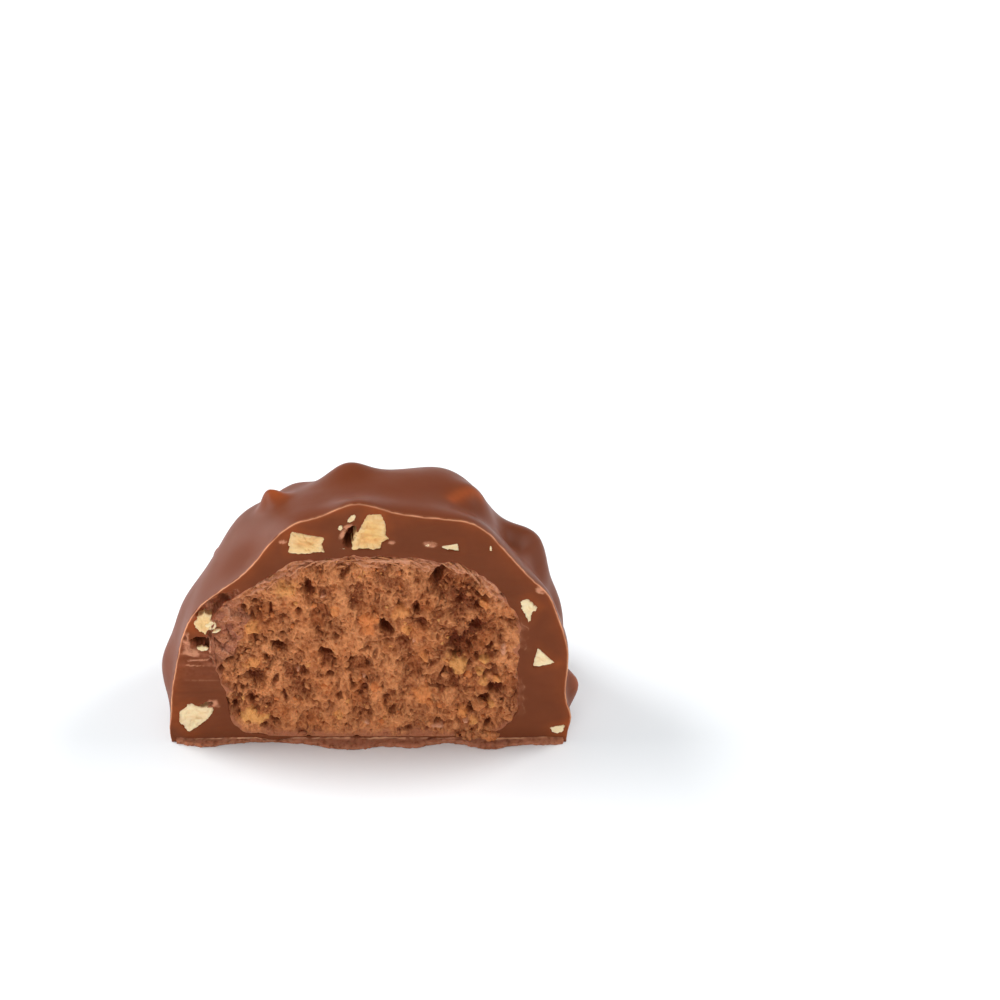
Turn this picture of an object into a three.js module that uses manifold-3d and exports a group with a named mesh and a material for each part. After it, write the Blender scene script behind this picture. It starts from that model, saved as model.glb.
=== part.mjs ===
// Half of a hazelnut praline.
// A milk chocolate dome with chopped hazelnuts in its shell is cut through the middle, so that
// the crumbly praline filling and the cut faces of the nut pieces show.
// Units are millimetres and +Z is up. The underside rests at z = 0, the knife cut faces -Y, and
// the origin is the middle of the outside box at its bottom.

import * as THREE from 'three';
import { mergeVertices } from 'three/addons/utils/BufferGeometryUtils.js';
import Module from 'manifold-3d';

const wasm = await Module();
wasm.setup();

// Driving dimensions. Both rounded bodies are measured from the knife cut, and a higher
// fullness makes a squarer body.

const CUT_Y = -7.8;
const DOME = { halfWidth: 15.7, depth: 16.1, height: 22, fullness: 2.35 };
const FILLING = {
  halfWidth: 11.9,
  depth: 12.2,
  middle: 10,
  above: 8.4,
  below: 9.4,
  fullness: 2.4,
  footFullness: 7,
  footTurn: 0.4,
};
const CLEARANCE = 0.05;
const RIM = { halfWidth: 15.5, thickness: 0.42, tuck: 1.5, step: 0.6, roughness: 0.12 };
const NUT_BACK = 0.55;
const NUT_BELLY = 1.05;

// Places on a body are given as two angles in degrees. Around goes from the right foot (0) over
// the crest (90) to the left foot (180), and back goes from the cut (0) to the rear (90).

// Lumps of the coating: size is how wide a lump is and rise how high, and a dent has a
// negative rise.
const DOME_LUMPS = [
  { around: 9, back: 0, size: 1.3, rise: 0.4 },
  { around: 33, back: 0, size: 3.2, rise: 1.05 },
  { around: 46, back: 0, size: 2.4, rise: 1.1 },
  { around: 58, back: 0, size: 2.6, rise: 0.75 },
  { around: 68, back: 0, size: 2.6, rise: 1.45 },
  { around: 76, back: 0, size: 2.4, rise: 0.45 },
  { around: 84, back: 0, size: 2.4, rise: 0.5 },
  { around: 92, back: 0, size: 2.2, rise: 1.45 },
  { around: 103, back: 0, size: 2.4, rise: 0.5 },
  { around: 118, back: 0, size: 2.8, rise: -1.25 },
  { around: 127, back: 0, size: 2.4, rise: -0.6 },
  { around: 142, back: 0, size: 3.0, rise: 0.2 },
  { around: 176, back: 0, size: 1.6, rise: 0.25 },
  { around: 9, back: 14, size: 1.5, rise: 1.3 },
  { around: 32, back: 22, size: 3.3, rise: 1.3 },
  { around: 36, back: 14, size: 1.5, rise: -0.45 },
  { around: 46, back: 14, size: 1.4, rise: -0.55 },
  { around: 48, back: 21, size: 2.4, rise: 1.85 },
  { around: 56, back: 14.5, size: 1.3, rise: -0.55 },
  { around: 67, back: 16.5, size: 1.8, rise: 0.9 },
  { around: 68, back: 26.5, size: 3.3, rise: 1.15 },
  { around: 73.5, back: 33.5, size: 2.5, rise: 0.8 },
  { around: 80, back: 24, size: 4.4, rise: 0.8 },
  { around: 94.5, back: 23, size: 2.0, rise: 1.15 },
  { around: 109, back: 30, size: 2.0, rise: 0.75 },
  { around: 111, back: 15.5, size: 1.05, rise: 1.2 },
  { around: 121, back: 22.5, size: 2.6, rise: 0.6 },
  { around: 147, back: 16.5, size: 2.8, rise: 0.75 },
  { around: 163, back: 13.5, size: 2.7, rise: 1.4 },
];

// Lumps on the rear follow a spiral, so that they are spread evenly. Its start and span are
// shares of the way back.
const REAR = {
  lumps: 14,
  turn: 137.5,
  start: 0.5,
  span: 0.46,
  size: 1.2,
  wider: 0.9,
  rise: 0.65,
  higher: 0.6,
};
const FOOT_LUMPS = { count: 4, first: 32, step: 15, around: 4, size: 2.2, rise: 0.7 };

// Dents and bulges of the filling against the shell.
const FILLING_LUMPS = [
  { around: 43, back: 0, size: 2.4, rise: 0.4 },
  { around: 145, back: 0, size: 2.4, rise: -0.6 },
  { around: 172, back: 0, size: 2.6, rise: 0.4 },
  { around: 209, back: 0, size: 2.2, rise: -0.6 },
];

// Crumbs of the cut filling, and the holes that fell out of it at x, z.
const CRUMB = { size: 1.35, rise: 0.65, level: 0.5, jitter: 0.8, start: 0.05 };
const FACE = { halfWidth: 13, bottom: 0, top: 19.5, step: 0.5, depth: 15 };
const PITS = [
  { x: 5.3, z: 16.2, width: 0.5, height: 1.2, depth: 1.3 },
  { x: 7.6, z: 11.4, width: 1.5, height: 2.0, depth: 0.6 },
  { x: 1.3, z: 11.6, width: 0.8, height: 0.6, depth: 1.0 },
  { x: -7.2, z: 9.7, width: 0.8, height: 0.6, depth: 1.0 },
  { x: -9.2, z: 5.2, width: 0.9, height: 1.0, depth: 0.8 },
  { x: -4.2, z: 15.0, width: 0.7, height: 0.7, depth: 0.7 },
];

// Tongues of the broken rim that juts out under the cut, from left to right.
const RIM_TONGUES = [
  { x: -13.2, width: 2.0, reach: 0.6 },
  { x: -1.6, width: 3.0, reach: 1.0 },
  { x: 3.4, width: 1.8, reach: 0.7 },
  { x: 9.6, width: 2.2, reach: 0.9 },
  { x: 14.2, width: 1.8, reach: 0.35 },
];

// Cut faces of the nut pieces as x, z corners, and how far each piece goes into the shell.
const NUTS = {
  hazelnut_crest: {
    depth: 2.6,
    outline: [
      [0.1, 22.5], [-0.4, 21.5], [-1.0, 20.1], [-1.2, 19.1], [1.2, 19.1],
      [1.3, 19.7], [1.9, 20.1], [1.6, 20.5], [1.6, 21.3], [1.2, 22.6],
    ],
  },
  hazelnut_crest_left: {
    depth: 2.2,
    outline: [
      [-5.9, 20.9], [-6.1, 19.7], [-6.1, 18.8], [-4.7, 18.6], [-3.2, 18.9],
      [-3.4, 19.6], [-3.2, 20.3], [-4.7, 20.6],
    ],
  },
  hazelnut_crest_right: {
    depth: 1.4,
    outline: [[5.6, 19.5], [6.35, 19.0], [7.3, 18.9], [7.2, 19.8]],
  },
  hazelnut_right_upper: {
    depth: 1.6,
    outline: [[12.5, 14.4], [12.0, 14.0], [12.1, 13.1], [12.7, 12.0], [13.0, 12.95], [13.4, 13.5]],
  },
  hazelnut_right_middle: {
    depth: 1.5,
    outline: [[13.3, 9.7], [12.9, 7.4], [14.8, 8.0]],
  },
  hazelnut_right_foot: {
    depth: 1.2,
    outline: [[14.3, 1.45], [14.6, 0.85], [15.4, 0.85], [15.7, 1.8]],
  },
  hazelnut_left_upper: {
    depth: 1.8,
    outline: [
      [-13.3, 12.6], [-13.75, 11.9], [-13.6, 11.4], [-12.8, 10.8], [-12.4, 11.6],
      [-12.3, 12.7], [-12.8, 13.0],
    ],
  },
  hazelnut_left_foot: {
    depth: 2.0,
    outline: [
      [-14.3, 3.9], [-15.2, 3.1], [-15.3, 2.0], [-14.5, 1.0], [-14.0, 1.2],
      [-13.1, 2.0], [-12.3, 3.1], [-12.4, 3.6], [-13.4, 3.6],
    ],
  },
};

// Facets
const DOME_STEPS = { around: 128, back: 64 };
const FILLING_STEPS = { around: 64, back: 32 };
const WELD = 1e-4;

const CHOCOLATE = { color: 0x74412b, roughness: 0.38, metalness: 0 };
const PRALINE = { color: 0x975732, roughness: 0.85, metalness: 0 };
const HAZELNUT = { color: 0xe4c48c, roughness: 0.6, metalness: 0 };

// Evenly spread number from 0 to 1 that always is the same for the same seed.
function scatter(seed) {
  const value = Math.sin(seed * 12.9898) * 43758.5453;
  return value - Math.floor(value);
}

function directionTo(around, back) {
  const a = THREE.MathUtils.degToRad(around);
  const b = THREE.MathUtils.degToRad(back);
  return new THREE.Vector3(Math.cos(b) * Math.cos(a), Math.sin(b), Math.cos(b) * Math.sin(a));
}

// Distance from the middle of a rounded body to its surface along a direction.
function fullRadius(direction, halfWidth, depth, height, fullness) {
  const sum =
    Math.abs(direction.x / halfWidth) ** fullness +
    Math.abs(direction.y / depth) ** fullness +
    Math.abs(direction.z / height) ** fullness;
  return sum ** (-1 / fullness);
}

function domeRadius(direction) {
  return fullRadius(direction, DOME.halfWidth, DOME.depth, DOME.height, DOME.fullness);
}

// The filling has a round top and a squarer foot.
function fillingRadius(direction) {
  const foot = THREE.MathUtils.clamp(-direction.z / FILLING.footTurn, 0, 1);
  const fullness = THREE.MathUtils.lerp(FILLING.fullness, FILLING.footFullness, foot);
  const height = direction.z > 0 ? FILLING.above : FILLING.below;
  return fullRadius(direction, FILLING.halfWidth, FILLING.depth, height, fullness);
}

// Adds the lumps to a plain radius. A lump is a bell round its own place.
function lumpyRadius(plainRadius, lumps) {
  const bells = lumps.map(({ around, back, size, rise }) => {
    const place = directionTo(around, back);
    return { place, rise, reach: size / plainRadius(place) };
  });
  return (direction) => {
    let radius = plainRadius(direction);
    for (const { place, rise, reach } of bells) {
      radius += rise * Math.exp(-((direction.distanceTo(place) / reach) ** 2));
    }
    return radius;
  };
}

function rearLumps() {
  const lumps = [];
  for (let i = 0; i < REAR.lumps; i += 1) {
    const wayBack = REAR.start + (REAR.span * i) / REAR.lumps;
    lumps.push({
      around: (i * REAR.turn) % 180,
      back: THREE.MathUtils.radToDeg(Math.asin(wayBack)),
      size: REAR.size + REAR.wider * scatter(i + 1),
      rise: REAR.rise + REAR.higher * scatter(i + 51),
    });
  }
  return lumps;
}

// Low lumps side by side where the coating ran down to the right of the foot.
function footLumps() {
  const lumps = [];
  for (let i = 0; i < FOOT_LUMPS.count; i += 1) {
    const { around, size, rise } = FOOT_LUMPS;
    lumps.push({ around, back: FOOT_LUMPS.first + i * FOOT_LUMPS.step, size, rise });
  }
  return lumps;
}

// Depth of the crumbly face behind the knife cut at x, z.
function crumbDepth(x, z) {
  const column = Math.floor(x / CRUMB.size);
  const row = Math.floor(z / CRUMB.size);
  let nearest = Infinity;
  let crown = 0;
  for (let i = column - 1; i <= column + 1; i += 1) {
    for (let j = row - 1; j <= row + 1; j += 1) {
      const seed = i * 57 + j * 131;
      const centreX = (i + 0.5 + CRUMB.jitter * (scatter(seed) - 0.5)) * CRUMB.size;
      const centreZ = (j + 0.5 + CRUMB.jitter * (scatter(seed + 17) - 0.5)) * CRUMB.size;
      const distance = Math.hypot(x - centreX, z - centreZ) / CRUMB.size;
      if (distance < nearest) {
        nearest = distance;
        crown = CRUMB.level * (scatter(seed + 29) - 0.5);
      }
    }
  }
  let depth = CRUMB.start + CRUMB.rise * nearest + crown;
  for (const pit of PITS) {
    const apart = Math.hypot((x - pit.x) / pit.width, (z - pit.z) / pit.height);
    depth += pit.depth * Math.exp(-(apart ** 2));
  }
  return depth;
}

// How far the broken rim reaches out in front of the knife cut at x.
function rimReach(x) {
  let reach = RIM.roughness * scatter(Math.round(x / RIM.step) + 7);
  for (const tongue of RIM_TONGUES) {
    reach += tongue.reach * Math.exp(-(((x - tongue.x) / tongue.width) ** 2));
  }
  return reach;
}

// Solids and meshes

function solidFrom(geometry) {
  geometry.deleteAttribute('normal');
  geometry.deleteAttribute('uv');
  const welded = mergeVertices(geometry, WELD);
  const mesh = new wasm.Mesh({
    numProp: 3,
    vertProperties: new Float32Array(welded.getAttribute('position').array),
    triVerts: new Uint32Array(welded.getIndex().array),
  });
  return new wasm.Manifold(mesh);
}

function meshFrom(name, solid, finish) {
  const { vertProperties, triVerts } = solid.getMesh();
  const geometry = new THREE.BufferGeometry();
  geometry.setAttribute('position', new THREE.BufferAttribute(vertProperties, 3));
  geometry.setIndex(new THREE.BufferAttribute(triVerts, 1));
  geometry.computeVertexNormals();
  const mesh = new THREE.Mesh(geometry, new THREE.MeshStandardMaterial(finish));
  mesh.name = name;
  return mesh;
}

// A round body whose poles are at the front and the rear. Its middle is on the knife cut.
function roundSolid(radiusAt, middle, steps, growth) {
  const geometry = new THREE.SphereGeometry(1, steps.around, steps.back);
  const position = geometry.getAttribute('position');
  const direction = new THREE.Vector3();
  for (let i = 0; i < position.count; i += 1) {
    direction.fromBufferAttribute(position, i).normalize();
    const radius = radiusAt(direction) + growth;
    position.setXYZ(
      i,
      direction.x * radius,
      direction.y * radius + CUT_Y,
      direction.z * radius + middle,
    );
  }
  return solidFrom(geometry);
}

// Everything behind the knife cut and above the surface that the praline rests on.
function keptSide() {
  const reach = 2 * DOME.height;
  const geometry = new THREE.BoxGeometry(2 * reach, reach, reach);
  geometry.translate(0, CUT_Y + reach / 2, reach / 2);
  return solidFrom(geometry);
}

// The thin rim of coating that broke off unevenly under the cut.
function rimSolid() {
  const corners = [];
  const count = Math.round((2 * RIM.halfWidth) / RIM.step);
  for (let i = 0; i <= count; i += 1) {
    const x = -RIM.halfWidth + (2 * RIM.halfWidth * i) / count;
    corners.push(new THREE.Vector2(x, CUT_Y - rimReach(x)));
  }
  corners.push(new THREE.Vector2(RIM.halfWidth - RIM.tuck, CUT_Y + RIM.tuck));
  corners.push(new THREE.Vector2(-RIM.halfWidth + RIM.tuck, CUT_Y + RIM.tuck));
  const outline = new THREE.Shape(corners);
  return solidFrom(
    new THREE.ExtrudeGeometry(outline, { depth: RIM.thickness, bevelEnabled: false }),
  );
}

// A block whose front face carries the crumbs.
function crumblySolid() {
  const width = 2 * FACE.halfWidth;
  const height = FACE.top - FACE.bottom;
  const geometry = new THREE.BoxGeometry(
    width,
    FACE.depth,
    height,
    Math.round(width / FACE.step),
    1,
    Math.round(height / FACE.step),
  );
  geometry.translate(0, CUT_Y + FACE.depth / 2, (FACE.top + FACE.bottom) / 2);
  const position = geometry.getAttribute('position');
  for (let i = 0; i < position.count; i += 1) {
    if (position.getY(i) < CUT_Y + FACE.depth / 2) {
      const depth = crumbDepth(position.getX(i), position.getZ(i));
      position.setY(i, CUT_Y + depth);
    }
  }
  return solidFrom(geometry);
}

// A nut piece is widest just behind the cut and narrows towards its back. A pocket is the
// same form grown by the clearance and open at the cut.
function nutSolid({ outline, depth }, growth) {
  const corners = outline.map(([x, z]) => new THREE.Vector2(x, z));
  const middle = new THREE.Vector2();
  corners.forEach((corner) => middle.add(corner));
  middle.divideScalar(corners.length);
  const geometry = new THREE.ExtrudeGeometry(new THREE.Shape(corners), {
    depth: 2,
    steps: 2,
    bevelEnabled: false,
  });
  const rings = [
    { spread: NUT_BACK, y: depth + growth },
    { spread: NUT_BELLY, y: depth / 2 },
    { spread: 1, y: growth > 0 ? -depth : 0 },
  ];
  const position = geometry.getAttribute('position');
  const offset = new THREE.Vector2();
  for (let i = 0; i < position.count; i += 1) {
    const { spread, y } = rings[Math.round(position.getZ(i))];
    offset.set(position.getX(i), position.getY(i)).sub(middle);
    offset.setLength(offset.length() * spread + growth);
    position.setXYZ(i, middle.x + offset.x, y, middle.y + offset.y);
  }
  geometry.translate(0, CUT_Y, 0);
  return solidFrom(geometry);
}

const domeSurface = lumpyRadius(domeRadius, [...DOME_LUMPS, ...rearLumps(), ...footLumps()]);
const fillingSurface = lumpyRadius(fillingRadius, FILLING_LUMPS);

function shellSolid() {
  let solid = roundSolid(domeSurface, 0, DOME_STEPS, 0).intersect(keptSide()).add(rimSolid());
  solid = solid.subtract(roundSolid(fillingSurface, FILLING.middle, FILLING_STEPS, CLEARANCE));
  for (const nut of Object.values(NUTS)) {
    solid = solid.subtract(nutSolid(nut, CLEARANCE));
  }
  return solid;
}

function fillingSolid() {
  return roundSolid(fillingSurface, FILLING.middle, FILLING_STEPS, 0).intersect(crumblySolid());
}

const praline = new THREE.Group();
praline.add(meshFrom('chocolate_shell', shellSolid(), CHOCOLATE));
praline.add(meshFrom('praline_filling', fillingSolid(), PRALINE));
for (const [name, nut] of Object.entries(NUTS)) {
  praline.add(meshFrom(name, nutSolid(nut, 0), HAZELNUT));
}

export default praline;
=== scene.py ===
import math

import bpy
import bmesh
import numpy as np
from bpy.props import FloatProperty, FloatVectorProperty, IntProperty, PointerProperty
from bpy.types import Operator, Panel, PropertyGroup
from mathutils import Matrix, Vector


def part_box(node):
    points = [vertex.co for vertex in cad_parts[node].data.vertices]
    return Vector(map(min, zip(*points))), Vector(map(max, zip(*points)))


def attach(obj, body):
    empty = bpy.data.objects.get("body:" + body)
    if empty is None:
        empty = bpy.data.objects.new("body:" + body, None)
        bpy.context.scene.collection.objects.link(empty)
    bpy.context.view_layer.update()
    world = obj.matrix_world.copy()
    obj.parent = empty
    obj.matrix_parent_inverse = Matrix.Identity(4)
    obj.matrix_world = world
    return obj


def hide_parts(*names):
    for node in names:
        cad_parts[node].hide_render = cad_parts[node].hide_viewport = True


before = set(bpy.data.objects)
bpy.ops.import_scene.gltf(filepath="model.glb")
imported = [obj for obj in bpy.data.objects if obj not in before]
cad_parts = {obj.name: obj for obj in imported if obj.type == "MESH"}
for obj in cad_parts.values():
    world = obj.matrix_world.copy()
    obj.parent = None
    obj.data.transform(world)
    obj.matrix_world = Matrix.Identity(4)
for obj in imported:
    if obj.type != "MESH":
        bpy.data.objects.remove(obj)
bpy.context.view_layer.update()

bl_info = {
    "name": "Halved hazelnut praline",
    "version": (1, 0, 0),
    "blender": (4, 5, 0),
    "location": "View3D > Sidebar > Praline",
    "description": "Builds half a praline with its cut filling and chopped nuts",
    "category": "Add Mesh",
}

# Sizes in this file are millimetres, and meshes and properties are metres.
MM = 0.001
CUT_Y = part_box("hazelnut_crest")[0].y / MM
NUT_NODES = sorted(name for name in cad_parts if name.startswith("hazelnut"))

# How warm the flesh of each nut piece is, 0 to 1. The others are pale.
PALE_NUT = 0.1
WARM_NUTS = {
    "hazelnut_crest": 1.0,
    "hazelnut_crest_left": 0.85,
    "hazelnut_left_upper": 0.8,
    "hazelnut_left_foot": 0.15,
}

# Places on a rounded body are two angles in degrees. Around goes from the right foot (0) over
# the crest (90) to the left foot (180), and back goes from the cut (0) to the rear (90).

# Lumps and dents of the coating: around, back, size, rise.
DOME_LUMPS = [
    (9, 0, 1.3, 0.4),
    (33, 0, 3.2, 1.05),
    (46, 0, 2.4, 1.1),
    (58, 0, 2.6, 0.75),
    (68, 0, 2.6, 1.45),
    (76, 0, 2.4, 0.45),
    (84, 0, 2.4, 0.5),
    (92, 0, 2.2, 1.45),
    (103, 0, 2.4, 0.5),
    (118, 0, 2.8, -1.25),
    (127, 0, 2.4, -0.6),
    (142, 0, 3.0, 0.2),
    (176, 0, 1.6, 0.25),
    (9, 14, 1.5, 1.3),
    (32, 22, 3.3, 1.3),
    (36, 14, 1.5, -0.45),
    (46, 14, 1.4, -0.55),
    (48, 21, 2.4, 1.85),
    (56, 14.5, 1.3, -0.55),
    (67, 16.5, 1.8, 0.9),
    (68, 26.5, 3.3, 1.15),
    (73.5, 33.5, 2.5, 0.8),
    (80, 24, 4.4, 0.8),
    (94.5, 23, 2.0, 1.15),
    (109, 30, 2.0, 0.75),
    (111, 15.5, 1.05, 1.2),
    (121, 22.5, 2.6, 0.6),
    (147, 16.5, 2.8, 0.75),
    (163, 13.5, 2.7, 1.4),
]

# Places of painted glow, where the lit lumps of the coating are drawn warm and bright: around,
# back, size.
GLOW_SPOTS = [
    (72, 12, 0.55),
    (71.2, 13, 0.6),
    (70.3, 14, 0.6),
    (69.3, 14.8, 0.6),
    (68.3, 15.5, 0.6),
    (67.3, 15.9, 0.6),
    (66.3, 16, 0.55),
    (109.5, 15, 0.85),
    (9, 15, 1.0),
]

# Smaller lumps towards the rear, each a turn further round than the one before, and the lumps at
# the right foot behind the cut. START and SPAN are sines of the angle back.
REAR_LUMPS = 14
REAR_TURN = 137.5
REAR_START = 0.5
REAR_SPAN = 0.46
FOOT_LUMPS = 4
# How strong the painted glow on the rear lumps is.
REAR_GLOW = 0.3

# Dents and bulges of the filling against the shell: around, back, size, rise.
FILLING_LUMPS = [
    (43, 0, 2.4, 0.4),
    (145, 0, 2.4, -0.6),
    (172, 0, 2.6, 0.4),
    (209, 0, 2.2, -0.6),
]

# Holes and hollows in the filling, sunk in and darkened with painted shade: x, z, half width, half
# height, tilt in degrees, depth.
PITS = [
    (5.45, 16.2, 0.4, 1.2, -8, 1.9),
    (1.35, 11.45, 0.3, 0.75, 12, 1.5),
    (1.75, 10.9, 0.35, 0.35, 0, 1.1),
    (3.85, 13.4, 0.25, 0.5, 0, 1.0),
    (4.3, 11.8, 0.4, 0.7, 0, 0.5),
    (0.2, 15.3, 0.2, 0.25, 0, 0.5),
    (-1.2, 13.8, 0.4, 0.6, 0, 0.5),
    (-7.1, 9.5, 0.6, 0.42, -25, 1.5),
    (-4.5, 14.9, 0.42, 0.85, 5, 1.2),
    (-5.4, 12.9, 0.3, 0.35, 0, 0.9),
    (-3.95, 11.3, 0.25, 0.25, 0, 0.7),
    (-8.85, 13.8, 0.25, 0.3, 0, 1.1),
    (-9.5, 12.6, 0.15, 0.5, 0, 0.6),
    (-7.6, 13.3, 0.12, 0.6, 0, 0.6),
    (-6.7, 10.7, 0.3, 0.15, 20, 0.6),
    (-8.15, 10.2, 0.2, 0.2, 0, 0.6),
    (-11.1, 9.7, 0.25, 0.2, 20, 0.7),
    (-11.0, 8.15, 0.45, 0.2, 25, 0.7),
    (-3.5, 8.9, 0.55, 0.3, -10, 1.0),
    (-3.3, 8.2, 0.5, 0.5, 10, 0.5),
    (-0.4, 9.35, 0.55, 0.12, 20, 0.7),
    (0.55, 8.95, 0.2, 0.4, -15, 0.6),
    (-1.45, 8.05, 0.35, 0.25, 0, 0.7),
    (-3.1, 6.65, 0.35, 0.2, 10, 0.8),
    (-1.3, 6.2, 0.25, 0.75, 5, 0.9),
    (-2.35, 4.7, 0.25, 0.4, 0, 0.8),
    (1.4, 4.2, 0.25, 0.3, 0, 0.7),
    (-11.8, 7.35, 0.45, 0.4, 20, 1.0),
    (-8.9, 6.35, 0.85, 0.42, -5, 1.1),
    (-7.4, 6.2, 0.2, 0.6, -15, 0.7),
    (-9.2, 3.95, 0.5, 0.4, 0, 1.1),
    (-10.7, 3.45, 0.15, 0.25, 0, 0.8),
    (-6.7, 4.5, 0.15, 0.6, 10, 0.7),
    (-8.5, 1.6, 0.25, 0.2, 0, 0.6),
    (-7.5, 2.1, 0.3, 0.2, -20, 0.7),
    (-3.6, 17.75, 0.6, 0.18, -5, 0.7),
    (-5.55, 17.4, 0.55, 0.1, 0, 0.5),
    (1.6, 17.4, 0.6, 0.09, 10, 0.6),
    (9.2, 14.35, 0.45, 0.25, -10, 0.6),
    (7.5, 13.9, 1.2, 0.8, -20, 0.4),
    (8.6, 11.4, 0.85, 0.5, 10, 0.9),
    (7.9, 10.75, 1.7, 0.55, 35, 0.5),
    (7.2, 9.9, 0.8, 0.9, 35, 0.8),
    (9.6, 9.3, 0.15, 0.4, -20, 0.7),
    (9.9, 7.1, 0.45, 0.5, 0, 0.6),
    (5.9, 7.0, 0.13, 0.95, -20, 0.7),
    (2.85, 1.35, 0.55, 0.22, 0, 0.7),
    (5.4, 1.95, 0.45, 0.12, 15, 0.8),
    (5.6, 5.5, 0.65, 0.15, -5, 0.8),
    (9.9, 5.2, 0.7, 0.4, -15, 0.8),
    (9.1, 4.1, 0.4, 0.3, 40, 0.8),
    (8.15, 3.0, 0.35, 0.4, 10, 0.9),
    (9.4, 1.6, 0.2, 0.35, -20, 0.7),
]

# Bits that stand out of the filling: x, z, half width, half height, tilt, and 0 for an orange
# bit to 1 for a yellow one.
BITS = [
    (-9.3, 2.45, 1.1, 0.6, -10, 0.9),
    (-9.35, 7.65, 0.65, 0.55, 10, 0.4),
    (-9.2, 11.2, 0.7, 0.8, 10, 0.45),
    (-6.3, 15.2, 1.0, 0.75, 15, 0.6),
    (0.0, 11.7, 0.8, 0.95, 0, 0.05),
    (2.6, 12.6, 0.6, 0.95, -15, 0.3),
    (3.1, 11.1, 0.7, 0.45, -15, 0.5),
    (6.9, 7.5, 0.8, 0.95, 20, 0.7),
    (9.2, 8.0, 0.45, 0.4, 10, 0.8),
    (9.0, 6.95, 0.5, 0.35, 0, 0.7),
    (9.05, 5.9, 0.45, 0.5, 10, 0.6),
    (10.2, 6.3, 0.35, 0.4, 0, 0.4),
    (9.7, 3.6, 0.45, 0.35, 10, 0.6),
    (9.15, 13.5, 0.5, 0.45, 0, 0.2),
    (4.35, 8.4, 0.35, 0.5, 10, 0.3),
    (-2.55, 13.1, 0.3, 0.75, 0, 0.15),
    (-2.45, 2.8, 0.5, 0.45, -10, 0.5),
    (0.4, 5.45, 0.3, 0.4, 0, 0.0),
    (4.3, 4.8, 0.8, 0.9, 0, 0.1),
    (7.4, 2.9, 0.5, 0.5, 20, 0.3),
    (8.3, 1.9, 0.4, 0.4, 0, 0.5),
]

# Pale specks and painted glints in the filling: x, z, half width, half height, tilt. The first four
# are painted glints; the others are pale flecks and lines of film.
PALE_SPECKS_AND_GLINTS = [
    (-3.5, 14.6, 0.14, 0.14, 0),
    (3.6, 10.1, 0.2, 0.24, 0),
    (-0.4, 6.6, 0.12, 0.12, 0),
    (-5.6, 7.2, 0.12, 0.12, 0),
    (5.4, 1.6, 0.5, 0.2, -8),
    (7.7, 2.0, 0.25, 0.12, 5),
    (-0.2, 1.9, 0.3, 0.14, -50),
    (10.7, 9.4, 0.2, 0.5, -10),
    (2.0, 18.02, 1.9, 0.2, 0),
    (2.9, 17.8, 0.9, 0.07, -6),
    (7.5, 17.0, 1.8, 0.1, -21),
    (9.8, 15.7, 0.9, 0.07, -48),
    (-7.7, 16.9, 1.2, 0.08, 21),
    (-6.9, 16.4, 1.3, 0.06, 16),
    (-8.4, 15.8, 1.0, 0.07, 25),
    (-3.2, 18.0, 1.1, 0.07, 6),
]

# Painted shade over a broad valley in the filling: x, z, half width, half height, tilt.
SHADE = (7.3, 11.6, 3.4, 3.6, 0)

# Place of the crumbs that spill over the foot: x, z, half width, half height.
SPILL = (8.6, 0.6, 1.7, 0.5)

# Stretch of the filling's edge with flakes of film, in degrees.
FLAKES_FROM = 32
FLAKES_SPAN = 118

# Chunk of broken chocolate between the upper left nut and the filling: x, z, half width,
# half height, tilt.
CHUNK = (-11.2, 11.6, 1.5, 3.1, -14)

# Holes and hollows in the cut chocolate, and the recess over the chunk, which are darkened with
# painted shade: x, z, half width, half height, tilt, depth.
RECESS = (-12.1, 13.6, 1.9, 0.62, 30, 0.35)
SHELL_VOIDS = [
    (-1.3, 20.35, 0.34, 0.9, -22, 1.6),
    RECESS,
    (-13.3, 10.1, 0.62, 0.42, -12, 0.9),
    (-12.75, 9.8, 0.2, 0.5, 0, 0.8),
    (-14.5, 10.45, 0.2, 0.22, 0, 0.4),
    (-12.8, 3.85, 0.5, 0.16, 25, 1.0),
    (-11.0, 14.1, 0.14, 0.14, 0, 0.6),
    (12.5, 12.55, 0.1, 0.12, 0, 0.3),
]

# Pale thin films that broke off beside the nut pieces: x, z, half width, half height, tilt.
SHELL_FILMS = [
    (-1.85, 20.6, 0.16, 0.6, -22),
    (-1.5, 21.35, 0.4, 0.16, 20),
    (-14.45, 10.2, 0.4, 0.75, 0),
    (-11.2, 10.5, 0.5, 0.12, -40),
    (-10.8, 12.35, 0.4, 0.1, 0),
    (-12.5, 9.4, 0.1, 1.2, 0),
    (-12.6, 3.75, 0.65, 0.42, 25),
    (-13.9, 9.0, 0.7, 0.35, 5),
    (-13.3, 8.3, 1.1, 0.1, 3),
    (-13.6, 7.75, 0.9, 0.06, -2),
    (5.0, 19.7, 0.5, 0.3, -15),
    (13.6, 15.2, 0.45, 0.35, -40),
    (2.0, 19.9, 0.25, 0.2, 0),
    (-6.5, 19.9, 0.25, 0.12, 0),
]

# Loose nut chips in the cut chocolate: x, z, half width, half height, tilt.
NUT_CHIPS = [
    (-1.1, 22.15, 0.24, 0.5, -35),
    (-2.0, 21.25, 0.17, 0.3, -15),
    (4.85, 19.65, 0.38, 0.24, -12),
    (9.68, 19.2, 0.1, 0.4, 0),
    (-13.1, 9.4, 0.48, 0.24, -8),
    (-12.4, 11.7, 0.45, 0.5, 20),
    (-11.95, 11.15, 0.4, 0.14, 25),
    (-1.75, 19.3, 0.45, 0.09, -12),
]

# The broken rim under the cut: its notch as x, width, and its tongues as x, width, reach.
RIM_NOTCH = (-7.7, 0.9)
RIM_TONGUES = [
    (-13.2, 2.0, 0.6),
    (-1.6, 3.0, 1.0),
    (3.4, 1.8, 0.7),
    (9.6, 2.2, 0.9),
    (14.2, 1.8, 0.35),
]
RIM_HALF_LENGTH = 15.5
RIM_COLUMNS = 430

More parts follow.
